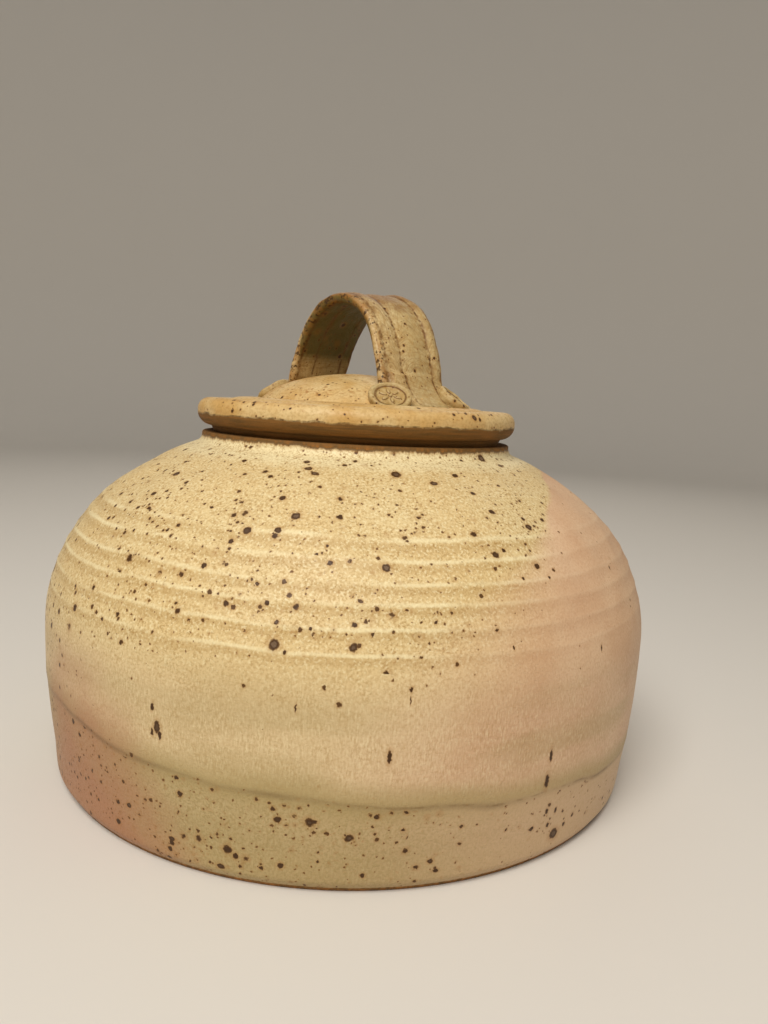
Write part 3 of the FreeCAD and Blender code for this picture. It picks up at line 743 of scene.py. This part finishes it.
    # bare clay at the rim and the foot
    drips = wires.noise(wires.squeeze(place, 1.0, 1.0, 0.25), 420.0, 3.0, 0.7)
    fringe = wires.plus(rise, wires.times(drips, 2.6 * MM))
    fringe = wires.plus(fringe, wires.times(wires.noise(place, 14.0), 3.0 * MM))
    bare = wires.ease(fringe, POT_GLAZE_END, POT_GLAZE_END + 0.4 * MM)
    foot = wires.ease(wires.line(drips, 0.9 * MM, rise), 2.2 * MM, 1.8 * MM)
    bare = wires.most(bare, foot)
    edge = wires.ease(wires.off(fringe, POT_GLAZE_END), 0.7 * MM, 0.1 * MM)
    tone.lay(glaze.rust, wires.ease(fringe, POT_GLAZE_END - 1.5 * MM, POT_GLAZE_END), 0.6)
    tone.lay(wires.mix(wires.ease(drips, 0.3, 0.7), glaze.umber, glaze.clay), bare)
    # painted shadow of the lid's flange on the rim's top edge
    painted_lid_shadow = wires.ease(rise, form.rim_height - 1.6 * MM, form.rim_height - 0.5 * MM)
    tone.lay(glaze.shade, painted_lid_shadow, 0.55)
    tone.lay(glaze.shade, edge, 0.8)
    inner = wires.attribute("inner")
    tone.lay(wires.mix(freckles, glaze.inside, glaze.freckle_and_shade), inner)
    finish_surface(shader, tone, grain, 0.0, bare)


def finish_surface(shader, tone, grain, specks, bare):
    """Satin glaze with a fine skin, pitted at its specks; matte where the clay is bare."""
    wires = tone.wires
    wires.feed(shader.inputs["Base Color"], tone.colour)
    gloss = wires.line(grain, 0.12, 0.44)
    gloss = wires.math("ADD", gloss, wires.times(bare, 0.3), clamp=True)
    wires.feed(shader.inputs["Roughness"], gloss)
    height = wires.line(specks, -0.6, grain)
    bump = wires.add("Bump", None, {"Strength": 0.4, "Distance": 0.12 * MM, "Height": height})
    wires.feed(shader.inputs["Normal"], bump.outputs[0])


def make_lid_glaze(glaze, form, top):
    """The lid's glaze above its bare lower edge."""
    wires, shader = new_finish("freckled_glaze")
    place = wires.place()
    height = wires.split(place)[2]
    radius = wires.vector("LENGTH", wires.squeeze(place, 1.0, 1.0, 0.0))
    rough_place = ragged(wires, place, 0.7 * MM)
    cloud, patch, grain = wires.group("glaze mottle", Place=place, Broad=60.0, Fine=900.0)
    tone = Tone(wires, glaze.buff)
    tone.lay(glaze.lid, cloud)
    tone.lay(glaze.freckle_and_shade, grain, 0.4)
    # the dome is mottled brown in short level dashes
    dashes = wires.group("glaze runs", Place=wires.squeeze(place, 0.35, 0.35, 1.6), Fine=900.0,
                         Patches=60.0)[0]
    on_dome = wires.ease(radius, 42 * MM, 39 * MM)
    tone.lay(glaze.rust, dashes, wires.line(on_dome, 0.65, 0.3))
    tone.lay(glaze.freckle_and_shade, wires.ease(wires.off(radius, GROOVE_AT), 3.6 * MM, 0.5 * MM), 0.35)
    brow = wires.times(wires.ease(wires.off(radius, BROW_AT), 1.8 * MM, 0.0), patch)
    tone.lay(glaze.rust, brow, 0.4)
    iron = speckle(wires, rough_place, 0.8, LID_SCATTERS)
    iron = spotted(wires, rough_place, iron, LID_SPOTS,
                   lambda height: flange_radius(form, top, height))
    stain(tone, iron, glaze)
    # the glaze stops in a dark wavy line half way down the flange
    edge = wires.plus(height, wires.times(wires.noise(place, 130.0), 2.2 * MM))
    edge = wires.plus(edge, wires.times(wires.noise(place, 700.0), 0.8 * MM))
    bare = wires.ease(edge, LID_GLAZE_END, LID_GLAZE_END - 0.4 * MM)
    line = wires.ease(wires.off(edge, LID_GLAZE_END), 0.55 * MM, 0.1 * MM)
    turned = wires.noise(wires.squeeze(place, 0.06, 0.06, 1.0), 1100.0, 3.0, 0.6)
    toasted = wires.mix(wires.ease(turned, 0.3, 0.7), glaze.umber, glaze.clay)
    tone.lay(wires.mix(0.55, toasted, glaze.umber), bare)
    tone.lay(glaze.shade, line, wires.line(patch, 0.5, 0.4))
    finish_surface(shader, tone, grain, iron["Speck"], bare)


def make_handle_glaze(glaze):
    """The strap's glaze: cream on its panels, iron where it thins at edges and grooves."""
    wires, shader = new_finish("streaked_glaze")
    place = wires.place()
    across, along = wires.attribute("across"), wires.attribute("along")
    outside, relief = wires.attribute("outside"), wires.attribute("relief")
    strap = wires.join(across, along, outside)
    rough_place = ragged(wires, place, 0.7 * MM)
    cloud, patch, grain = wires.group("glaze mottle", Place=place, Broad=80.0, Fine=1000.0)
    tone = Tone(wires, glaze.buff)
    tone.lay(glaze.cream, cloud)
    tone.lay(glaze.freckle_and_shade, grain, 0.5)
    streak = wires.group("glaze runs", Place=wires.squeeze(strap, 1.0, 0.08, 0.0), Fine=900.0,
                         Patches=120.0)[0]
    tone.lay(glaze.rust, streak, 0.55)
    # painted shade: the strap is laid darker toward its far edge, where its panels turn from the
    # light
    tone.lay(glaze.olive_and_shade, wires.ease(across, -8 * MM, 2 * MM, 0.1, 0.55))
    tone.lay(glaze.freckle_and_shade, wires.line(patch, 0.45, 0.1))
    broad = wires.ease(wires.noise(wires.squeeze(strap, 1.0, 0.25, 0.3), 130.0, 3.0), 0.48, 0.66)
    tone.lay(glaze.amber, broad, 0.35)
    # the crown of the arch is rubbed amber; the inside is a greener glaze laid darker, as painted
    # shade under the arch
    wander = wires.sway(place, 160.0, 22 * MM)
    crown = wires.plus(wires.math("ABSOLUTE", along), wander)
    tone.lay(glaze.amber, wires.ease(crown, 25 * MM, 6 * MM), 0.8)
    inward = wires.ease(outside, 0.2, -0.5)
    tone.lay(glaze.moss_and_shade, inward, 0.92)
    # edges and grooves
    wavy = wires.plus(across, wires.sway(place, 260.0, 1.6 * MM))
    rim = wires.most(wires.ease(wavy, -13.4 * MM, -14.6 * MM),
                     wires.ease(wavy, 14.8 * MM, 15.8 * MM))
    lines = stained = 0.0
    for at, half in STRAP_LINES:
        off = wires.off(wavy, at * MM)
        lines = wires.most(lines, wires.ease(off, half * MM, 0.1 * MM))
        stained = wires.most(stained, wires.ease(off, half * 3.5 * MM, 0.1 * MM))
    lines = wires.times(lines, wires.line(patch, 0.7, 0.3))
    beads = wires.times(wires.ease(wires.noise(rough_place, 620.0), 0.54, 0.64),
                        wires.most(rim, lines))
    thin = wires.ease(wires.noise(rough_place, 330.0), 0.45, 0.6, 0.1, 0.45)
    tone.lay(glaze.rust, rim, thin)
    stained = wires.times(stained, wires.ease(wires.noise(place, 190.0), 0.45, 0.65))
    tone.lay(glaze.amber, stained, 0.5)
    tone.lay(glaze.bran, lines, 0.9)
    tone.lay(glaze.iron, beads, 0.9)
    # brown pools in the hollows of the pads
    pool = wires.ease(relief, -0.45 * MM, -0.9 * MM)
    tone.lay(glaze.freckle_and_shade, pool, wires.line(patch, 0.4, 0.25))
    tone.lay(glaze.bran, wires.ease(wires.off(relief, PAD_LINE), 0.16 * MM, 0.04 * MM), 0.85)
    # glaze pools where the foot is smeared onto the lid, laid darker with painted shade in the
    # crease between foot and lid
    pooled_and_crease_shade = wires.ease(wires.split(place)[2], SHELF_Z + 2.9 * MM, SHELF_Z)
    tone.lay(glaze.moss_and_shade, pooled_and_crease_shade, wires.line(patch, 0.5, 0.1))
    iron = speckle(wires, rough_place, 0.9, HANDLE_SCATTERS)
    iron = speckle(wires, rough_place, inward, UNDER_STRAP_SCATTERS, iron)
    stain(tone, iron, glaze)
    finish_surface(shader, tone, grain, iron["Speck"], 0.0)


# ---- operators ----------------------------------------------------------------------

# how fine a thrown piece is: the step along its outline and the steps round it
POT_PITCH, POT_STEPS = 1.05 * MM, 320
LID_PITCH, LID_STEPS = 0.9 * MM, 256
PAD_PITCH, PAD_STEPS, PAD_GRAIN = 0.4 * MM, 72, 0.22 * MM
OVERLAP_HEIGHT = 30.8 * MM
OVERLAP_FALL = 0.075  # how far the overlap comes down for each step to the right
ROLL_REACH = 9 * MM
# section of the glaze's roll up the wall, as bands over that reach
ROLL = ((-1, 0), (-0.4, 0), (-0.16, 0.1), (0.02, 1.0), (0.2, 0.8), (0.4, 0.35), (0.55, 0.4),
        (0.66, 0.3), (1, 0))
RING_TURNS = (14.5, 21.2, 27.8, 33.7, 41.0, 48.0)  # degrees above the belly
RING_MARGIN = 8 * MM  # pressed wall below the first ring and above the last
RING_CREST = 0.036  # half a crest, as a band
RING_PRESSED = 0.8  # the share of the rings' depth that their bands are pressed in by
STRAP_TILT = math.radians(4.2)
FLARE = 1.5  # power by which the legs spread from the crown down to the lid


class BEANPOT_OT_finishes(bpy.types.Operator):
    """Mixes the glazes and the bare clay"""

    bl_idname = "beanpot.finishes"
    bl_label = "Mix finishes"

    def execute(self, context):
        scene = context.scene
        for make in (make_specks, make_spot, make_mottle, make_side, make_streaks):
            make()
        make_pot_glaze(scene.bean_pot_glaze, scene.bean_pot_form)
        top = shelf_height(scene.bean_pot_form, scene.bean_pot_lid)
        make_lid_glaze(scene.bean_pot_glaze, scene.bean_pot_lid, top)
        make_handle_glaze(scene.bean_pot_glaze)
        return {"FINISHED"}


class BEANPOT_OT_pot(bpy.types.Operator):
    """Throws the pot with its rings, its glaze overlap and its slight unevenness"""

    bl_idname = "beanpot.pot"
    bl_label = "Throw pot"

    def execute(self, context):
        form = context.scene.bean_pot_form
        piece = throw("pot_body_thrown", pot_outline(form), POT_PITCH, POT_STEPS)
        note(piece, "inner", lambda co: float(is_inner(form, co)))
        outer = weigh(piece, "outer", lambda co: 0.0 if is_inner(form, co) else 1.0)
        press_rings(piece, form, outer)
        level = UP * OVERLAP_HEIGHT
        off_overlap = (UP + ACROSS * OVERLAP_FALL).normalized()
        stick = guide(level, off_overlap, ROLL_REACH)
        press(piece, bands(ROLL), form.glaze_roll, stick, middle=0, group=outer)
        note(piece, "rise", lambda co: co.z)
        note(piece, "above_overlap", lambda co: (co - level).dot(off_overlap))
        # the wall is uneven, but not its foot and its rim
        free = weigh(piece, "free", lambda co: ease(3 * MM, 14 * MM, co.z)
                     * ease(form.rim_height - 4 * MM, 118 * MM, co.z))
        press(piece, clouds(34 * MM, 2), 3.0 * MM, direction="Z", group=free)
        press(piece, clouds(60 * MM), 0.9 * MM, middle=1, group=free)
        done(piece, "pot", "speckled_glaze", "pot_body")
        return {"FINISHED"}


def is_inner(form, co):
    """Whether a point of the pot lies on its inside."""
    radius = math.hypot(co.x, co.y)
    if co.z > form.rim_height - 3 * MM:
        return radius < form.neck_radius - form.rim_width + form.rim_round * 0.5
    if co.z < form.floor - MM:
        return False
    return radius < outer_radius(form, co.z) - form.wall * 0.5


def outer_radius(form, height):
    """Radius of the pot's outside at a height."""
    up = height - form.belly_height
    if up < 0:
        return form.belly_radius - form.wall_lean * (up / form.belly_height) ** 2
    shoulder_x = form.belly_radius - form.shoulder_radius
    if up < form.shoulder_radius * math.sin(form.shoulder_turn):
        return shoulder_x + math.sqrt(form.shoulder_radius**2 - up**2)
    sunk = form.flank_radius - form.shoulder_radius
    up += sunk * math.sin(form.shoulder_turn)
    across = shoulder_x - sunk * math.cos(form.shoulder_turn)
    return max(form.neck_radius, across + math.sqrt(form.flank_radius**2 - up**2))


def pot_outline(form):
    """The whole section of the pot, from the middle of its base round to its floor."""
    foot_x = form.belly_radius - form.wall_lean
    drop = form.belly_height - form.bevel_height
    wall_round = (form.wall_lean**2 + drop**2) / (2 * form.wall_lean)
    wall_x = form.belly_radius - wall_round
    shoulder_x = form.belly_radius - form.shoulder_radius
    sunk = form.flank_radius - form.shoulder_radius
    cosine, sine = math.cos(form.shoulder_turn), math.sin(form.shoulder_turn)
    flank_x, flank_z = shoulder_x - sunk * cosine, form.belly_height - sunk * sine
    sweep_x = form.neck_radius + form.neck_fillet
    swept = form.flank_radius + form.neck_fillet
    band_z = flank_z + math.sqrt(swept**2 - (sweep_x - flank_x) ** 2)
    share = form.flank_radius / swept
    rim = form.rim_height
    mouth_x = form.neck_radius - form.rim_width
    edge = form.rim_round
    wall = wall_round - form.wall
    shoulder = form.shoulder_radius - form.wall
    flank = form.flank_radius - form.wall
    mouth_z = flank_z + math.sqrt(flank**2 - (mouth_x - flank_x) ** 2)
    inner_x = wall_x + math.sqrt(wall**2 - (form.belly_height - form.floor) ** 2)
    corner = form.floor_corner
    turn_z = form.floor + corner
    turn_x = wall_x + math.sqrt(wall**2 - (form.belly_height - turn_z) ** 2)
    ring_in = foot_x - form.bevel_width - form.ring_width
    # the sections of the shoulder, outside and inside, meet the flank's at this turn
    outer = (shoulder_x + form.shoulder_radius * cosine,
             form.belly_height + form.shoulder_radius * sine)
    inner = (shoulder_x + shoulder * cosine, form.belly_height + shoulder * sine)
    return [
        (0, form.recess, None, 9),
        (ring_in, form.recess, None, 2),
        (ring_in, 0, None, 3),
        (foot_x - form.bevel_width, 0, None, 1),
        (foot_x, form.bevel_height, wall_round, 1),
        (form.belly_radius, form.belly_height, form.shoulder_radius, 0.75),
        (*outer, form.flank_radius, 1),
        (flank_x + (sweep_x - flank_x) * share, flank_z + (band_z - flank_z) * share,
         -form.neck_fillet, 0.6),
        (form.neck_radius, band_z, None, 0.4),
        (form.neck_radius, rim - edge, edge, 0.35),
        (form.neck_radius - edge, rim, None, 1),
        (mouth_x + edge, rim, edge, 0.35),
        (mouth_x, rim - edge, None, 2),
        (mouth_x, mouth_z, -flank, 4),
        (*inner, -shoulder, 4),
        (form.belly_radius - form.wall, form.belly_height, -wall, 4),
        (turn_x, turn_z, -corner * 1.02, 2),
        (inner_x - corner, form.floor, None, 7),
        (0, form.floor, None, 1),
    ]


def ring_heights(form):
    """Levels of the crests of the throwing rings."""
    return [form.belly_height + form.shoulder_radius * math.sin(math.radians(turned))
            for turned in RING_TURNS]


def press_rings(piece, form, group):
    """Presses the throwing rings into the shoulder."""
    heights = ring_heights(form)
    low, high = heights[0] - RING_MARGIN, heights[-1] + RING_MARGIN
    middle, reach = (low + high) / 2, (high - low) / 2
    stops = [(-1, 1)]
    for at, height in enumerate(heights):
        place = (height - middle) / reach
        stops += [(place - RING_CREST, 0.3), (place, 1.0), (place + RING_CREST, 0.4)]
        if at + 1 < len(heights):
            stops.append(((heights[at + 1] - middle + height - middle) / 2 / reach, 0.0))
    stops.append((1, 1))
    stick = guide(UP * middle, UP, reach)
    press(piece, bands(stops), form.ring_depth * RING_PRESSED, stick, middle=1, group=group)


class BEANPOT_OT_lid(bpy.types.Operator):
    """Throws the lid: its collar, its flange with the groove, and its dome"""

    bl_idname = "beanpot.lid"
    bl_label = "Throw lid"

    def execute(self, context):
        outline = lid_outline(context.scene.bean_pot_lid, context.scene.bean_pot_form)
        piece = throw("lid_thrown", outline, LID_PITCH, LID_STEPS)
        done(piece, "lid", "freckled_glaze", "lid")
        return {"FINISHED"}


def bow(start, end, rise):
    """Radius of the arc between two corners that stands this far off their chord."""
    span = math.hypot(end[0] - start[0], end[1] - start[1])
    return (span**2 / 4 + rise**2) / (2 * rise)


def lid_outline(form, pot):
    """The whole section of the lid, from under its dome round to its apex."""
    mouth = pot.neck_radius - pot.rim_width
    collar = mouth - form.collar_gap
    inside = collar - form.collar_wall
    seat, under = mouth + form.seat_width, pot.rim_height + form.under_gap
    edge, top = form.edge_radius, pot.rim_height + form.under_gap + form.thick
    groove = edge - form.groove_inset
    out_x, in_x = groove + form.groove_width / 2, groove - form.groove_width / 2
    rise = form.apex_height - top
    sag = 1 - math.cos(form.dome_turn)
    lean = form.dome_radius * math.sin(form.dome_turn) + (rise - form.dome_edge) * sag
    reach = form.dome_radius**2 + rise**2 - rise * form.dome_edge * 2
    apart = (lean - math.sqrt(lean**2 - sag * 2 * reach)) / (sag * 2)
    crown = form.dome_edge + apart
    crown_z = form.apex_height - crown
    sine, cosine = math.sin(form.dome_turn), math.cos(form.dome_turn)
    edge_x, edge_z = apart * sine, crown_z + apart * cosine
    ceiling = top - form.wall
    inner_edge = form.dome_edge - form.wall
    inner_crown = crown - form.wall
    return [
        (0, form.apex_height - form.wall, -inner_crown, 3),
        (inner_crown * sine, crown_z + inner_crown * cosine, -inner_edge, 2.5),
        (edge_x + math.sqrt(inner_edge**2 - (ceiling - edge_z) ** 2), ceiling, None, 2.5),
        (inside, ceiling, None, 3),
        (inside, form.collar_bottom, None, 1.5),
        (collar, form.collar_bottom, None, 2),
        (collar, pot.rim_height, None, 1.5),
        (seat, pot.rim_height, None, 1),
        (edge - form.low_round, under, form.low_round, 0.6),
        (edge, under + form.low_round, None, 0.6),
        (edge, top - form.top_round, form.top_round, 0.6),
        (edge - form.top_round, top, None, 0.6),
        (out_x, top, -bow((out_x, top), (in_x, top), form.groove_depth), 0.6),
        (in_x, top, bow((in_x, top), (form.dome_radius, top), form.shelf_rise), 1),
        (form.dome_radius, top, form.dome_edge, 1),
        (crown * sine, crown_z + crown * cosine, crown, 1),
        (0, form.apex_height, None, 1),
    ]


def shelf_height(pot, lid):
    """Level of the lid's flat top round the dome."""
    return pot.rim_height + lid.under_gap + lid.thick


def flange_radius(lid, top, height):
    """Radius of the flange's edge at a height, in along the round on top."""
    up = min(lid.top_round, max(0, height - top + lid.top_round))
    return lid.edge_radius - lid.top_round + math.sqrt(lid.top_round**2 - up**2)


class BEANPOT_OT_handle(bpy.types.Operator):
    """Pulls the strap handle and smears its feet onto the lid"""

    bl_idname = "beanpot.handle"
    bl_label = "Pull strap handle"

    def execute(self, context):
        form = context.scene.bean_pot_handle
        piece = copy_of(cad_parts["strap_handle"], "strap_handle_pulled")
        pick(piece)
        bpy.ops.object.mode_set(mode="EDIT")
        bpy.ops.mesh.select_all(action="SELECT")
        bpy.ops.mesh.remove_doubles(threshold=WELD)
        bpy.ops.object.mode_set(mode="OBJECT")
        shelf = shelf_height(context.scene.bean_pot_form, context.scene.bean_pot_lid)
        pick(piece, *(smear_foot(form, shelf, side) for side in (1, -1)))
        bpy.ops.object.join()
        apply(piece, "REMESH", mode="VOXEL", voxel_size=form.grain)
        apply(piece, "SMOOTH", factor=0.5, iterations=5)
        foot = weigh(piece, "foot", lambda co: ease(shelf + 17 * MM, shelf + 11 * MM, co.z))
        apply(piece, "SMOOTH", factor=0.6, iterations=24, vertex_group=foot)
        note_strap(piece, form)
        spread = weigh(piece, "spread", lambda co: leg_spread(co, shelf))
        apply(piece, "DISPLACE", direction="X", strength=-form.spread, mid_level=0,
              vertex_group=spread)
        press(piece, clouds(9 * MM, 2), 0.9 * MM, middle=0.85)
        done(piece, "lid", "streaked_glaze", "strap_handle")
        return {"FINISHED"}


def leg_spread(co, shelf):
    """How much of its spread a point of the strap's left leg takes."""
    return ease(0, -24 * MM, co.x) * ease(shelf + 40 * MM, shelf + 6 * MM, co.z)


def smear_foot(form, shelf, side):
    """Clay drawn down from a leg of the strap onto the lid."""
    smear = begin("smear")
    face = form.half_span + form.thick / 2
    back, front, tip = ((face + off) * side for off in (-2 * MM, -0.4 * MM, form.smear))
    low, top = shelf - MM, shelf + 13 * MM
    draw([
        (back, low, None, 1),
        (back, top, None, 1),
        (front, top, 17 * MM * side, 0.6),
        (tip, shelf + 1.2 * MM, None, 1),
        (tip, low, None, 1),
        (back, low, None, 1),
    ], 2 * MM)
    bpy.ops.mesh.select_all(action="SELECT")
    bpy.ops.mesh.remove_doubles(threshold=WELD)
    bpy.ops.mesh.edge_face_add()
    wide = form.width - 8 * MM
    bpy.ops.transform.translate(value=(0, form.offset - wide / 2, 0))
    bpy.ops.mesh.extrude_region_move(TRANSFORM_OT_translate={"value": (0, wide, 0)})
    bpy.ops.mesh.select_all(action="SELECT")
    bpy.ops.mesh.normals_make_consistent(inside=False)
    bpy.ops.object.mode_set(mode="OBJECT")
    return smear


def note_strap(piece, form):
    """Notes on each point where it lies across, along and through the strap."""
    centre_z = STRAP_HIGH.z - form.thick / 2 - form.crown_radius
    quarter = form.crown_radius * math.pi / 2

    def along(co):
        if co.z > centre_z:
            return math.atan2(co.x, co.z - centre_z) * form.crown_radius
        return math.copysign(quarter + centre_z - co.z, co.x)

    def outside(co):
        tilt = (co.y - form.offset) * math.tan(STRAP_TILT)
        if co.z > centre_z:
            off = math.hypot(co.x, co.z - centre_z) - form.crown_radius
        else:
            down = (centre_z - co.z) / (centre_z - SHELF_Z)
            off = abs(co.x) - form.crown_radius - (form.half_span - form.crown_radius) * down**FLARE
        return (off - tilt) / (form.thick / 2)

    note(piece, "across", lambda co: co.y - form.offset)
    note(piece, "along", along)
    note(piece, "outside", outside)
    note(piece, "relief", lambda co: 0.0)


class BEANPOT_OT_pads(bpy.types.Operator):
    """Presses a pad with a plain flower onto each corner of the strap's feet"""

    bl_idname = "beanpot.pads"
    bl_label = "Press pads"

    def execute(self, context):
        form = context.scene.bean_pot_handle
        shelf = shelf_height(context.scene.bean_pot_form, context.scene.bean_pot_lid)
        pressed = press_pad(form)
        for end, x_side in (("right", 1), ("left", -1)):
            for face, y_side in (("front", -1), ("back", 1)):
                node = f"handle_pad_{end}_{face}"
                piece = copy_of(pressed, f"{node}_pressed")
                piece.data.transform(pad_place(form, shelf, x_side, y_side))
                press(piece, clouds(6 * MM, 1), 0.9 * MM, middle=0.7)
                done(piece, "lid", "streaked_glaze", node)
        bpy.data.objects.remove(pressed)
        return {"FINISHED"}


def pad_place(form, shelf, x_side, y_side):
    """Where a pad sits: turned to face its corner, leaning out and off the strap."""
    centre = Vector((
        (form.half_span + form.thick / 2 + form.pad_out) * x_side
        - (form.spread if x_side < 0 else 0),
        form.offset + (form.width / 2 + form.pad_across) * y_side,
        shelf + form.pad_height,
    ))
    hinge = Vector((-math.sin(form.pad_turn) * y_side, math.cos(form.pad_turn) * x_side, 0))
    swing = Matrix.Rotation(math.radians(17 * x_side + 40 * y_side), 4, "Z")  # no two alike
    return Matrix.Translation(centre) @ Matrix.Rotation(form.pad_tilt, 4, hinge) @ swing


def press_pad(form):
    """One pad lying flat at the origin: a rolled rim round a plain raised flower."""
    pad = throw("pad", pad_outline(form), PAD_PITCH, PAD_STEPS)
    leaves = []
    for petal in range(form.petals + 1):
        bpy.ops.mesh.primitive_uv_sphere_add(segments=24, ring_count=12, radius=1)
        leaf = bpy.context.object
        middle = petal == form.petals
        angle, reach = math.tau * petal / form.petals, 0 if middle else form.pad_radius * 0.33
        size = (0.9, 0.9, 0.9) if middle else (1.8, 0.95, 0.8)
        leaf.data.transform(
            Matrix.Rotation(angle, 4, "Z")
            @ Matrix.Translation((reach, 0, -form.pad_rim))
            @ Matrix.Diagonal((*(Vector(size) * MM), 1)))
        leaves.append(leaf)
    pick(pad, *leaves)
    bpy.ops.object.join()
    inside = form.pad_radius - form.pad_rim
    apply(pad, "REMESH", mode="VOXEL", voxel_size=PAD_GRAIN)
    apply(pad, "SMOOTH", factor=0.5, iterations=4)
    for name, same in (("across", 0.0), ("along", 1.0), ("outside", 1.0)):
        note(pad, name, lambda co: same)
    note(pad, "relief", lambda co: co.z if math.hypot(co.x, co.y) < inside else 0.0)
    return pad


def pad_outline(form):
    """Half a pad's section: a rolled rim, a thin coil inside it and a sunk field."""
    radius, rim = form.pad_radius, form.pad_rim
    return [
        (0, -form.pad_thick, None, 3),
        (radius * 0.8, -form.pad_thick, None, 2),
        (radius, -rim * 2, None, 1),
        (radius, -rim, rim, 0.6),
        (radius - rim, 0, rim, 0.6),
        (radius - rim * 2, -rim * 0.8, None, 1),
        (radius - rim * 2.4, -rim * 0.5, None, 1),
        (radius - rim * 2.8, -rim, None, 1),
        (0, -rim * 0.9, None, 1),
    ]


# across, toward the viewer, up, size, power and tint of each lamp
LAMPS = {
    "key": (-0.25, 0.78, 1.08, 0.7, 15.8, (1.0, 0.96, 0.9)),
    "fill": (1.1, 0.6, 0.5, 1.0, 0.8, (1.0, 0.9, 0.75)),
    "back": (0.1, -1.0, 0.9, 0.8, 1.6, (1.0, 0.92, 0.8)),
}
LIT_HEIGHT = 0.08  # the lamps point at the axis here
# the floor's section, out from the axis and up into a wall
FLOOR_SWEEP = ((0, 0, None, 1), (1.6, 0, 0.5, 1), (2.1, 0.5, None, 1), (2.1, 1.4, None, 1))
FLOOR_PITCH, FLOOR_STEPS = 0.1, 64


class BEANPOT_OT_stage(bpy.types.Operator):
    """Sets the floor, the lamps and the camera"""

    bl_idname = "beanpot.stage"
    bl_label = "Set stage"

    def execute(self, context):
        scene, stage = context.scene, context.scene.bean_pot_stage
        set_floor(stage.floor)
        for name, (across, toward, up, size, power, tint) in LAMPS.items():
            at = ACROSS * across + TOWARD * toward + UP * up
            bpy.ops.object.light_add(type="AREA", location=at)
            lamp = context.object
            lamp.name = f"{name}_lamp"
            lamp.data.size = size
            lamp.data.energy = power
            lamp.data.color = tint
            lamp.rotation_euler = (UP * LIT_HEIGHT - at).to_track_quat("-Z", "Y").to_euler()
        scene.world = bpy.data.worlds.new("studio")
        scene.world.use_nodes = True
        sky = scene.world.node_tree.nodes["Background"]
        sky.inputs["Color"].default_value = (1.0, 0.97, 0.93, 1)
        sky.inputs["Strength"].default_value = 0.28
        scene.view_settings.view_transform = "Standard"
        camera = bpy.data.objects.new("camera", bpy.data.cameras.new("camera"))
        scene.collection.objects.link(camera)
        camera.data.sensor_width = 36
        camera.data.lens = stage.lens
        camera.data.clip_start = 0.01
        camera.matrix_world = (
            Matrix.Translation(TOWARD * stage.camera_distance + UP * stage.camera_height)
            @ Matrix.Rotation(FRONT + stage.yaw, 4, "Z")
            @ Matrix.Rotation(math.pi / 2 - stage.pitch, 4, "X")
            @ Matrix.Rotation(stage.roll, 4, "Z"))
        scene.camera = camera
        return {"FINISHED"}


def set_floor(paint):
    """A plain round floor that sweeps up into a wall."""
    floor = throw("floor_sweep", FLOOR_SWEEP, FLOOR_PITCH, FLOOR_STEPS)
    bpy.ops.object.mode_set(mode="EDIT")
    bpy.ops.mesh.select_all(action="SELECT")
    bpy.ops.mesh.flip_normals()
    bpy.ops.object.mode_set(mode="OBJECT")
    bpy.ops.object.shade_smooth()
    wires, shader = new_finish("floor_paint")
    tone = Tone(wires, paint)
    tone.lay((0.5, 0.48, 0.45, 1), wires.noise(wires.place(), 3.0), 0.06)
    wires.feed(shader.inputs["Base Color"], tone.colour)
    shader.inputs["Roughness"].default_value = 0.8
    floor.data.materials.append(bpy.data.materials["floor_paint"])


class BEANPOT_PT_sidebar(bpy.types.Panel):
    """The steps that build the pot"""

    bl_idname = "BEANPOT_PT_sidebar"
    bl_label = "Bean pot"
    bl_space_type = "VIEW_3D"
    bl_region_type = "UI"
    bl_category = "Bean pot"

    def draw(self, context):
        for step in STEPS:
            self.layout.operator(step.bl_idname)
        for form, group in FORMS.items():
            box = self.layout.box()
            for name in group.__annotations__:
                box.prop(getattr(context.scene, form), name)


STEPS = (
    BEANPOT_OT_finishes,
    BEANPOT_OT_pot,
    BEANPOT_OT_lid,
    BEANPOT_OT_handle,
    BEANPOT_OT_pads,
    BEANPOT_OT_stage,
)


def register():
    for kind in (*FORMS.values(), *STEPS, BEANPOT_PT_sidebar):
        bpy.utils.register_class(kind)
    for name, group in FORMS.items():
        setattr(bpy.types.Scene, name, bpy.props.PointerProperty(type=group))


def unregister():
    for name in FORMS:
        delattr(bpy.types.Scene, name)
    for kind in (BEANPOT_PT_sidebar, *STEPS, *FORMS.values()):
        bpy.utils.unregister_class(kind)


def main():
    register()
    for step in STEPS:
        family, action = step.bl_idname.split(".")
        getattr(getattr(bpy.ops, family), action)()


if __name__ == "__main__":
    main()
